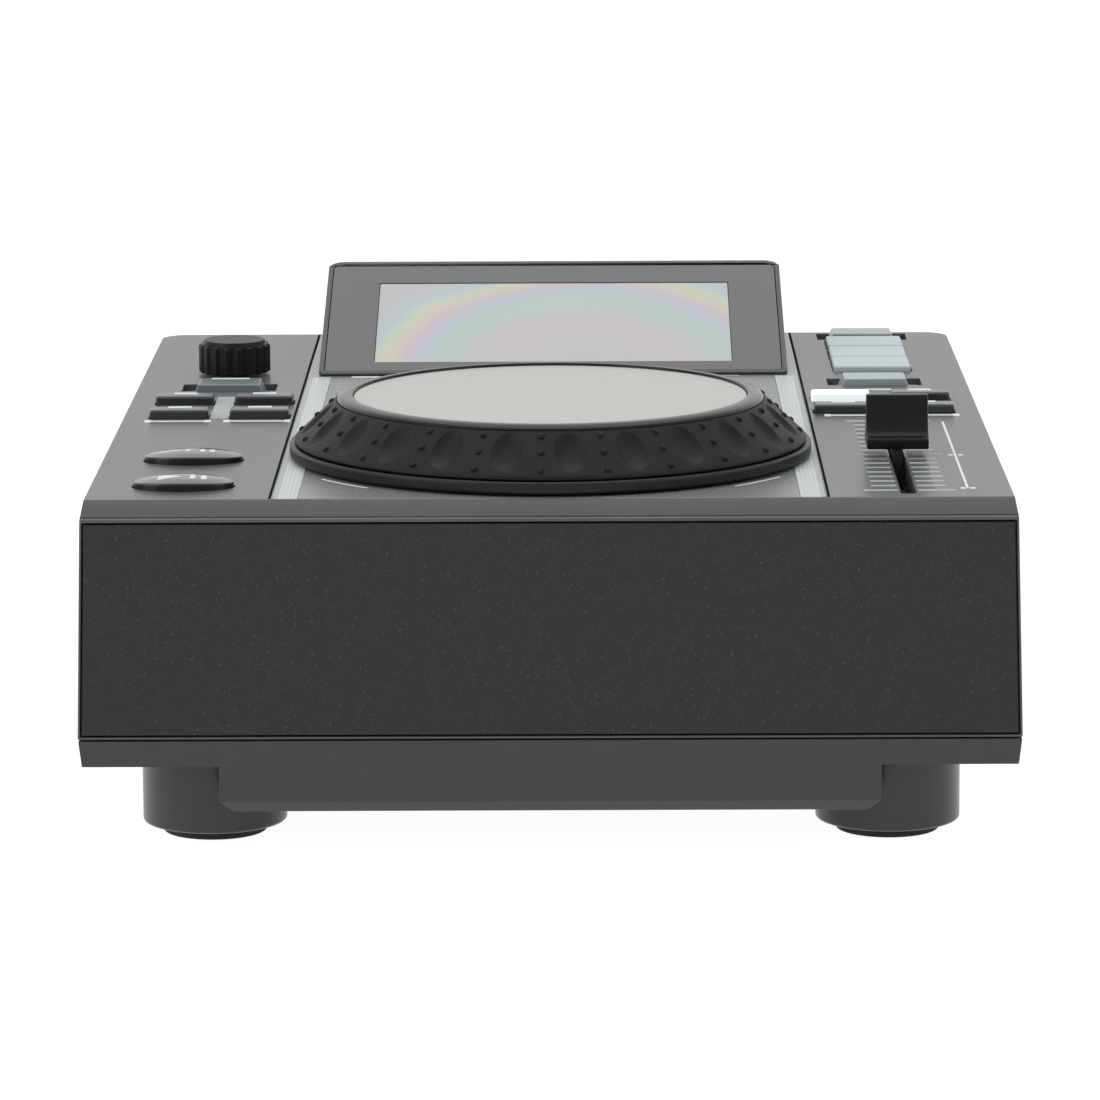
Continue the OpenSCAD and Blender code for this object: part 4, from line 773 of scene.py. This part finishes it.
# %% Side strips
line_pitch, line_half_w, line_depth = 1.0, 0.09, 0.06
for side, name in ((-1, "left"), (1, "right")):
    inner = side * (strips_high.x - strip_w)
    outer = side * strips_high.x
    strip = block((min(inner, outer), strips_low.y, strips_low.z),
                  (max(inner, outer), strips_high.y, strips_high.z))
    soften(strip, 0.12, lambda m: m.z > strips_high.z - 0.1)
    for i in range(1, 6):
        x = side * (strips_high.x - i * line_pitch)
        cut(strip, block((x - line_half_w, strips_low.y - 1, strips_high.z - line_depth),
                         (x + line_half_w, strips_high.y + 1, strips_high.z + 1)))
    finish_piece(strip, "pale_strip_" + name, "case", "strip_print", strip_film, "side_strips")

# %% [markdown]
# ## Jog wheel: skirt, ring and disc
# The skirt is a low drum and keeps its CAD shape. The other two are turned: the ring is a
# convex band of gloss black plastic, and the disc is thin aluminium with a rounded edge. The
# ring's top falls away to the outside along a quarter of a circle, squashed: that is why it
# is dark at the front, where one looks at it squarely, and light at its ends, where one
# looks along it.

# %% Skirt, ring and disc
finish_piece(soft_copy("jog_carrier", 0.2), "wheel_skirt", "jog_wheel", "skirt_plastic",
             skirt_abs, "jog_carrier")

ring_low, ring_high = corners_of("jog_trim_ring")
disc_r = disc_high.x
ring_out = ring_high.x
ring_in = disc_r + 0.1
ring_lip, ring_drop = 0.25, 1.1
crown_in, crown_w, crown_z = ring_in + 0.6, ring_out - ring_in - 0.8, ring_high.z - 0.02
ring_rings = ([(ring_in, ring_low.z), (ring_in, ring_high.z - ring_lip),
               (ring_in + ring_lip, ring_high.z)]
              + [(crown_in + crown_w * math.sin(math.radians(a)),
                  crown_z - ring_drop * (1 - math.cos(math.radians(a))))
                 for a in (10, 25, 40, 55, 70, 90)]
              + [(ring_out - 0.4, ring_low.z)])
ring = turned(axis, ring_rings, steps=192, hollow=True)
smooth(ring, 50)
finish_piece(ring, "wheel_trim_ring", "jog_wheel", "gloss_black", ring_abs, "jog_trim_ring")

disc_edge_r = 0.3
disc_rings = ([(disc_r, disc_low.z)]
              + bend_of(disc_r - disc_edge_r, disc_high.z - disc_edge_r, disc_edge_r, 0, 90)
              + [(disc_r - 1.5, disc_high.z)])
disc = turned(axis, disc_rings, steps=192)
smooth(disc)
finish_piece(disc, "wheel_disc", "jog_wheel", "disc_metal", blasted_aluminium, "jog_disc")

# %% [markdown]
# ## Jog wheel: the grip
# The rubber grip has 24 oval finger dimples, with a column of three small studs between
# each two. One twenty-fourth of it is modelled flat, then repeated and bent to a ring. That
# keeps the work small, and every dimple is the same. The patch starts as a square outline
# with an oval hole, and bridge_edge_loops fills the space between the two.

# %% Patch of the grip
dimples = 24
foot_r, head_r = 62.5, 52.4
foot_z, head_z = 89.9, 99.35
middle_r = (foot_r + head_r) / 2
patch_w = 2 * math.pi * middle_r / dimples
patch_l = math.hypot(head_z - foot_z, foot_r - head_r)
dimple_at, dimple_half_w, dimple_half_l = (0.7, 0.5), 3.8, 5.7
hole_centre = (dimple_at[0] * MM, dimple_at[1] * MM, 0)

bpy.ops.mesh.primitive_plane_add(size=1)
bpy.ops.transform.resize(value=(patch_w * MM, patch_l * MM, 1))
bpy.ops.object.transform_apply(location=True, rotation=True, scale=True)
patch = take(bpy.context.object)
bpy.ops.object.mode_set(mode="EDIT")
bpy.ops.mesh.select_all(action="SELECT")
bpy.ops.mesh.delete(type="ONLY_FACE")
bpy.ops.mesh.select_all(action="SELECT")
bpy.ops.mesh.subdivide(number_cuts=7)
bpy.ops.mesh.select_all(action="DESELECT")
bpy.ops.mesh.primitive_circle_add(
    vertices=32, radius=dimple_half_w * MM, location=hole_centre)
bpy.ops.transform.resize(value=(1, dimple_half_l / dimple_half_w, 1), center_override=hole_centre)
bpy.ops.mesh.select_all(action="SELECT")
bpy.ops.mesh.bridge_edge_loops(number_cuts=2, interpolation="LINEAR")
print("one patch:", round(patch_w, 2), "by", round(patch_l, 2), "mm")

# %% [markdown]
# The dimple is made of smaller and smaller ovals, each extruded from the last and pushed in
# a little further. Their depth goes with the cube of their size, so the dimple is steep at
# its rim and nearly flat at its bottom. A small bevel softens the rim.

# %% Dimple
dimple_depth, rim_r = 1.15, 0.25


def oval_at(middle):
    """Where a point lies in the dimple's oval: 0 at its middle, 1 on its outline."""
    return (((middle.x - dimple_at[0]) / dimple_half_w) ** 2
            + ((middle.y - dimple_at[1]) / dimple_half_l) ** 2)


pick("EDGE", lambda m: oval_at(m) < 1.001)
sizes = [1, 0.95, 0.88, 0.78, 0.64, 0.46, 0.26]
for size, smaller in zip(sizes, sizes[1:]):
    sink = dimple_depth * (size ** 3 - smaller ** 3)
    bpy.ops.mesh.extrude_edges_move(TRANSFORM_OT_translate={"value": (0, 0, -sink * MM)})
    bpy.ops.transform.resize(value=(smaller / size, smaller / size, 1), center_override=hole_centre)
bpy.ops.mesh.edge_face_add()
bpy.ops.mesh.poke()
pick("EDGE", lambda m: abs(m.z) < 0.001 and abs(oval_at(m) - 0.99) < 0.02)
bpy.ops.mesh.bevel(offset=rim_r * MM, segments=2, affect="EDGES")
bpy.ops.object.mode_set(mode="OBJECT")
print("dimple:", dimple_depth, "mm deep")

# %% [markdown]
# The studs are small spheres, flattened a little and half sunk in the rubber. Joined to the
# patch before it is repeated, they need to be placed only once.

# %% Studs
stud_x, stud_ys, stud_r = -patch_w / 2 + 1.35, (-4.7, 0.5, 5.4), 0.85
studs = []
for y in stud_ys:
    bpy.ops.mesh.primitive_uv_sphere_add(segments=14, ring_count=8, radius=stud_r * MM,
                                         location=(stud_x * MM, y * MM, 0), scale=(1, 1, 0.75))
    studs.append(bpy.context.object)
take(patch)
for stud in studs:
    stud.select_set(True)
bpy.ops.object.join()
print("one patch of the grip:", len(patch.data.polygons), "faces")

# %% [markdown]
# An Array modifier lays 24 patches in a row and merges their borders. The row is leaned to
# the slope of the grip, and a Simple Deform modifier bends it to a full ring. The first
# dimple comes to lie 5 degrees past the front of the wheel.

# %% Ring of patches
dimple_turn = 5
lean_angle = math.atan2(head_z - foot_z, foot_r - head_r)
shape(patch, "ARRAY", count=dimples, use_relative_offset=False, use_constant_offset=True,
      constant_offset_displace=(patch_w * MM, 0, 0), use_merge_vertices=True,
      merge_threshold=0.01 * MM)
take(patch)
bpy.ops.object.mode_set(mode="EDIT")
bpy.ops.mesh.select_all(action="SELECT")
first_x = middle_r * math.radians(dimple_turn) - dimple_at[0]
bpy.ops.transform.translate(value=((first_x - patch_w * dimples / 2) * MM, 0, 0))
bpy.ops.object.mode_set(mode="OBJECT")
patch.rotation_euler = (lean_angle, 0, 0)
bpy.ops.object.transform_apply(location=True, rotation=True, scale=True)
shape(patch, "SIMPLE_DEFORM", deform_method="BEND", deform_axis="Z", angle=2 * math.pi)
box = [Vector(c) for c in patch.bound_box]
print("bent box in mm:",
      [[round(end(c[k] for c in box) / MM, 2) for k in range(3)] for end in (min, max)])

# %% [markdown]
# The bent sheet still has no thickness. Its upper border is carried in under the ring and
# down, its lower border down and in under the grip, and the two ends are bridged, which
# closes the grip to a solid. Normals are made consistent last, so that faces point outwards.

# %% Lips of the grip
grip = take(patch)
bpy.ops.object.mode_set(mode="EDIT")
bpy.ops.mesh.select_all(action="SELECT")
bpy.ops.transform.translate(
    value=(0, (axis[1] - middle_r) * MM, (foot_z + head_z) / 2 * MM))
bpy.ops.mesh.remove_doubles(threshold=0.02 * MM)
ring_seat = ring_low.z - 0.1
lip_depth, lip_reach, tuck_depth = 0.8, 4.2, 2.4
pick("EDGE", lambda m: m.z > head_z - 0.01)
carry(axis, [(head_r, head_z), (head_r - 0.35, head_z - 0.15), (head_r - 0.5, ring_seat),
             (ring_in + 0.5, ring_seat), (ring_in + 0.5, ring_seat - tuck_depth)])
pick("EDGE", lambda m: m.z < foot_z + 0.01)
carry(axis, [(foot_r, foot_z), (foot_r, foot_z - 0.5), (foot_r - 0.3, foot_z - lip_depth),
             (foot_r - lip_reach, foot_z - lip_depth)])
bpy.ops.mesh.select_all(action="DESELECT")
bpy.ops.mesh.select_non_manifold(extend=False, use_wire=False, use_multi_face=False,
                                 use_non_contiguous=False, use_verts=False)
bpy.ops.mesh.bridge_edge_loops()
bpy.ops.mesh.select_all(action="SELECT")
bpy.ops.mesh.normals_make_consistent(inside=False)
smooth(grip, 50)
finish_piece(grip, "wheel_grip", "jog_wheel", "grip_rubber", grip_rubber, "jog_grip")

# %% [markdown]
# ## Keys
# The two oval keys are gloss black: their low domes mirror the white room along the top and
# stay black at the front. Each starts as a turned drum on its stem, stretched to an oval. Its
# top is divided into rings and shrunk onto a large sphere, which gives the dome, and the rim
# is rounded last.

# %% Oval keys
half_w, half_d = 12.0, 7.5
dome_r, rise = 60.0, 2.3
stem_r, drum_h = 3, 8.5


def oval_key(node):
    """An oval key with a stem and a domed top."""
    low, high = corners_of(node)
    centre = ((low.x + high.x) / 2, (low.y + high.y) / 2)
    foot, top = high.z - drum_h, deck_z + rise + 1
    rings = [(stem_r, low.z), (stem_r, foot), (half_w - 0.4, foot), (half_w, foot + 1),
             (half_w, top), (half_w - 0.5, top), (half_w * 0.75, top), (half_w * 0.5, top),
             (half_w * 0.25, top)]
    key = turned(centre, rings, steps=96)
    bpy.ops.mesh.primitive_uv_sphere_add(
        segments=256, ring_count=256, radius=dome_r * MM,
        location=(centre[0] * MM, centre[1] * MM, (deck_z + rise - dome_r) * MM))
    dome = bpy.context.object
    take(key)
    pick("VERT", lambda m: m.z > top - 0.01)
    bpy.ops.object.vertex_group_assign_new()
    bpy.ops.mesh.select_all(action="SELECT")
    bpy.ops.transform.resize(value=(1, half_d / half_w, 1),
                             center_override=(centre[0] * MM, centre[1] * MM, 0))
    shape(key, "SHRINKWRAP", target=dome, wrap_method="PROJECT", use_project_z=True,
          use_negative_direction=True, use_positive_direction=False,
          vertex_group=key.vertex_groups[0].name)
    bpy.data.objects.remove(dome)
    soften(key, 0.4, lambda m: m.z > deck_z, segments=4)
    return finish_piece(key, node + "_cap", node, "gloss_black", gloss_key, node)


play, cue = [oval_key(node) for node in ("play_key", "cue_key")]

# %% [markdown]
# The oval keys carry plain marks: a triangle and two bars on one, a line, a dot and two bars
# on the other. Each mark is a small prism, and what it shares with a copy of the key that
# lies 0.03 mm higher is kept. So the mark follows the dome and stands just proud of it.

# %% Marks on the oval keys
ink_t = 0.03
prism_low, prism_high = deck_z + 1, deck_z + 4


def on_dome(key, prism, name):
    """Turn a prism into a printed mark on the dome of a key."""
    lifted = key.copy()
    lifted.data = key.data.copy()
    bpy.context.scene.collection.objects.link(lifted)
    lifted.location.z = ink_t * MM
    cut(prism, lifted, "INTERSECT")
    smooth(prism)
    finish_piece(prism, name, key.name.replace("_cap", ""), "strip_print", white_ink)


triangle_r = 4
triangle_at = (-91, -115.6, (prism_low + prism_high) / 2)
bpy.ops.mesh.primitive_cylinder_add(
    vertices=3, radius=triangle_r * MM, depth=(prism_high - prism_low) * MM,
    rotation=(0, 0, math.radians(-90)), location=Vector(triangle_at) * MM, scale=(1.05, 0.95, 1))
on_dome(play, take(bpy.context.object), "play_triangle")
# Bars as their left, right, front and rear ends
pause_bars = [(-85.2, -83.7, -118.6, -112.6), (-82.7, -81.2, -118.6, -112.6)]
cue_marks = [(-95.2, -89.6, -77.9, -76.7), (-88.9, -87.7, -78.4, -76.2),
             (-85.2, -84, -79.4, -75.4), (-82.9, -81.6, -79.4, -75.4)]
for key, name, bars in ((play, "pause_bar", pause_bars), (cue, "cue_mark", cue_marks)):
    for i, (x0, x1, y0, y1) in enumerate(bars, start=1):
        on_dome(key, block((x0, y0, prism_low), (x1, y1, prism_high)), f"{name}_{i}")

# %% [markdown]
# ## Small keys, saddle keys and pads
# These are copies of the CAD keys, with their stems, and get rounded top edges. The small
# keys are satin, and the three pads are milky silicone.

# %% Keys
def above_deck(middle):
    """Edges of a key that stand above the deck."""
    return middle.z > deck_z - 2


def dress_key(node, radius, slot, finish):
    """One key with soft edges, riding on its own body."""
    finish_piece(soft_copy(node, radius, above_deck, 3), node + "_cap", node, slot, finish, node)


for side in ("left", "right"):
    for i in range(1, 5):
        white = side == "right" and i == 3
        dress_key(f"{side}_key_{i}", 0.7, "key_white" if white else "key_dark",
                  glowing_white_key if white else dark_key)
for where, finish in (("left", grey_key), ("right", pale_key), ("rear", pale_key)):
    dress_key(where + "_saddle_key", 0.4, "key_grey", finish)
for i in (1, 2, 3):
    dress_key(f"pad_key_{i}", 0.6, "key_white", pad_key)

# %% [markdown]
# ## Browse knob and fader cap
# The knob's rim has shallow ribs for the fingers. The fader cap has a ridge across its
# middle and a hollow slope on each side, which hold a fingertip. The CAD has these forms, so
# both are soft copies, and their edges get the same radius.

# %% Knob and cap
cap_edge_r = 0.3
finish_piece(soft_copy("browse_knob", cap_edge_r), "browse_knob_cap", "browse_knob",
             "rubber_black", knob_abs, "browse_knob")
finish_piece(soft_copy("fader_cap", cap_edge_r), "fader_cap_soft", "fader", "gloss_black",
             cap_abs, "fader_cap")

# %% [markdown]
# ## Printed marks
# The deck carries screen-printed lines and bars. Screen ink stands a few hundredths of a
# millimetre proud, so every mark is a very low block with rounded corners, and so are the
# bars of painted shade beside the fader. Marks of one finish are joined to one piece.

# %% Printing
arc_w = 0.8


def mark(x0, x1, y0, y1, r=0.2, z=deck_z):
    """A flat printed bar with round corners."""
    bar = block((x0, y0, z - 0.01), (x1, y1, z + ink_t))
    pick("EDGE", lambda m: abs(m.z - z - ink_t / 3) < 0.01)
    bpy.ops.mesh.bevel(offset=min(r, (x1 - x0) * 0.45, (y1 - y0) * 0.45) * MM, segments=3,
                       affect="EDGES")
    return bar


def arc_mark(radius, start, turn):
    """A printed bar bent clockwise round the wheel's axis: the end of a short block, spun."""
    bar = block((radius, 0, deck_z - 0.01), (radius + arc_w, 0.1, deck_z + ink_t))
    pick("FACE", lambda m: m.y > 0.09)
    bpy.ops.mesh.spin(steps=12, angle=math.radians(turn), center=(0, 0, 0), axis=(0, 0, 1))
    bpy.ops.mesh.select_all(action="SELECT")
    bpy.ops.mesh.normals_make_consistent(inside=False)
    take(bar)
    bar.rotation_euler = (0, 0, math.radians(start))
    bar.location = (axis[0] * MM, axis[1] * MM, 0)
    bpy.ops.object.transform_apply(location=True, rotation=True, scale=True)
    return bar


def join_marks(name, mark_finish, made):
    """All marks of one finish, as one piece."""
    take(made[0])
    for bar in made:
        bar.select_set(True)
    bpy.ops.object.join()
    finish_piece(made[0], name, "case", "strip_print", mark_finish)


# %% [markdown]
# The fader's scale has a tick every 6.45 mm on both sides of the slot, a long one at both
# ends and in the middle, and a bar of painted shade between each two ticks, near the slot.

# %% Scale of the fader
fader_x, fader_y = 84.5, -74.0
tick_pitch, tick_half = 6.45, 1.0
tick_near, left_reach, right_reach, long_more = 2.4, 8.4, 9.2, 2.0
shade_near, shade_left, shade_right, shade_half = 2.6, 8.2, 6.5, 1.2
ticks, shade_bars = [], []
for i in range(-8, 9):
    y = fader_y + i * tick_pitch
    more = long_more if i % 8 == 0 else 0
    ticks.append((fader_x - left_reach - more, fader_x - tick_near, y - tick_half, y + tick_half))
    ticks.append((fader_x + tick_near, fader_x + right_reach + more, y - tick_half, y + tick_half))
    # Between each two ticks, a bar of painted shade
    if i < 8:
        y += tick_pitch / 2
        shade_bars.append((fader_x - shade_left, fader_x - shade_near, y - shade_half, y + shade_half))
        shade_bars.append((fader_x + shade_near, fader_x + shade_right, y - shade_half, y + shade_half))
print("ticks:", len(ticks), "dark bars:", len(shade_bars))

# %% [markdown]
# The other white marks are lines in front of the keys with a dot at each end, a bracket
# beside the fader, short dashes near the keys, and two arcs at the front of the wheel. The
# dots lie a hundredth of a millimetre higher than the lines, because two faces at the same
# height would flicker into each other. Grey are a bar between the left keys, a short one
# before the screen, and a border along each pale strip.

# %% White and grey marks
# Bars as their left, right, front and rear ends, and some with a corner radius
underlines = [(-103.1, -86.5, -19.6, -17.6), (-83.2, -66.3, -19.6, -17.6), (69.3, 103.8, -14, -12)]
dots = [(x - 0.9, x + 0.9, y - 1.9, y + 1.9, 0.8) for x, y in
        ((-102.4, -18.6), (-87.3, -18.6), (-82.4, -18.6), (-67.1, -18.6), (70.2, -13),
         (102.9, -13))]
scale_line = [(98.4, 99, -123, -24), (97, 98.2, -76.3, -74.3), (99.4, 100.6, -76.3, -74.3),
              (97, 98.2, -124, -122), (99.2, 100.6, -124, -122)]
dashes = [(-79.2, -72.5, 25, 27), (-97, -92.7, 24.4, 26.4), (82, 88.6, 29, 31)]
pills = [(-53.7, -45.4, 53.6, 56, 1.1)]
pale_bars = [(-87, -82.2, -14.3, 21.4, 0.5), (44.2, 49.5, 54.2, 56)]
borders = [(-strips_high.x, -strips_high.x + 1.2, strips_low.y, strips_high.y),
           (strips_high.x - 1.2, strips_high.x, strips_low.y, strips_high.y)]
arc_r, arc_turn = 65.2, 15
arcs = [arc_mark(arc_r, start, arc_turn) for start in (229, 327)]
join_marks("white_marks", white_ink,
           [mark(*bar) for bar in underlines + scale_line + dashes + pills]
           + [mark(*dot, z=deck_z + 0.01) for dot in dots] + arcs)
join_marks("grey_marks", grey_ink, [mark(*bar) for bar in ticks + pale_bars + borders])
# The bars of painted shade between the ticks, as one piece
join_marks("dark_marks", painted_shade_finish, [mark(*bar) for bar in shade_bars])
print("white marks:", len(underlines + scale_line + dashes + pills + dots + arcs))

# %% [markdown]
# Each dark key and the left saddle key carry a short white bar near their rear edge. It is a
# piece of its own, because it has to go down with its key.

# %% Marks on the small keys
marked_keys = [f"left_key_{i}" for i in range(1, 5)] + [f"right_key_{i}" for i in (1, 2, 4)]
for node in marked_keys + ["left_saddle_key"]:
    low, high = corners_of(node)
    x = (low.x + high.x) / 2
    # Half its width, and how far its front and rear ends lie from the key's rear edge
    half, front, rear = (5, 2.9, 0.8) if "saddle" in node else (3, 3.4, 1)
    bar = mark(x - half, x + half, high.y - front, high.y - rear, z=high.z)
    finish_piece(bar, node + "_mark", node, "strip_print", white_ink)

# %% [markdown]
# ## Parts that hardly show
# The sockets at the back get soft edges as well, and so do the screws. The parts inside keep
# their CAD shape and only get their real finish in every material slot that they have.

# %% Rear and inner parts
rear_finishes = {
    "rear_panel": ("panel_plastic", base_abs, 0.15),
    "power_inlet": ("socket_black", socket_nylon, 0.3),
    "power_switch": ("socket_black", socket_nylon, 0.25),
    "usb_sockets": ("steel", steel, 0.08),
    "screws": ("steel", steel, 0.1),
}
for node, (slot, finish, radius) in rear_finishes.items():
    finish_piece(soft_copy(node, radius), node + "_soft", "case", slot, finish, node)
finish_piece(soft_copy("power_rocker", 0.3), "power_rocker_soft", "power_rocker", "socket_black",
             socket_nylon, "power_rocker")
inner_finishes = {
    steel: ["jog_spindle", "jog_clip", "browse_shaft", "browse_encoder", "fader_body",
            "key_switches"],
    bronze: ["jog_bush"],
    gold: ["phono_sockets"],
    socket_nylon: ["jog_base", "jog_sensor", "jog_code_wheel", "fader_lever", "browse_plunger"],
    board_mask: ["control_board_left", "control_board_right", "main_board", "power_supply"],
    cable_pvc: ["ribbon_cables"],
    housing_abs: ["lcd_module"],
}
for finish, nodes in inner_finishes.items():
    for node in nodes:
        inner = frame["nodes"][node]
        for i in range(len(inner.data.materials)):
            inner.data.materials[i] = finish
        if not inner.data.materials:
            inner.data.materials.append(finish)
print("inner parts:", sum(len(nodes) for nodes in inner_finishes.values()))
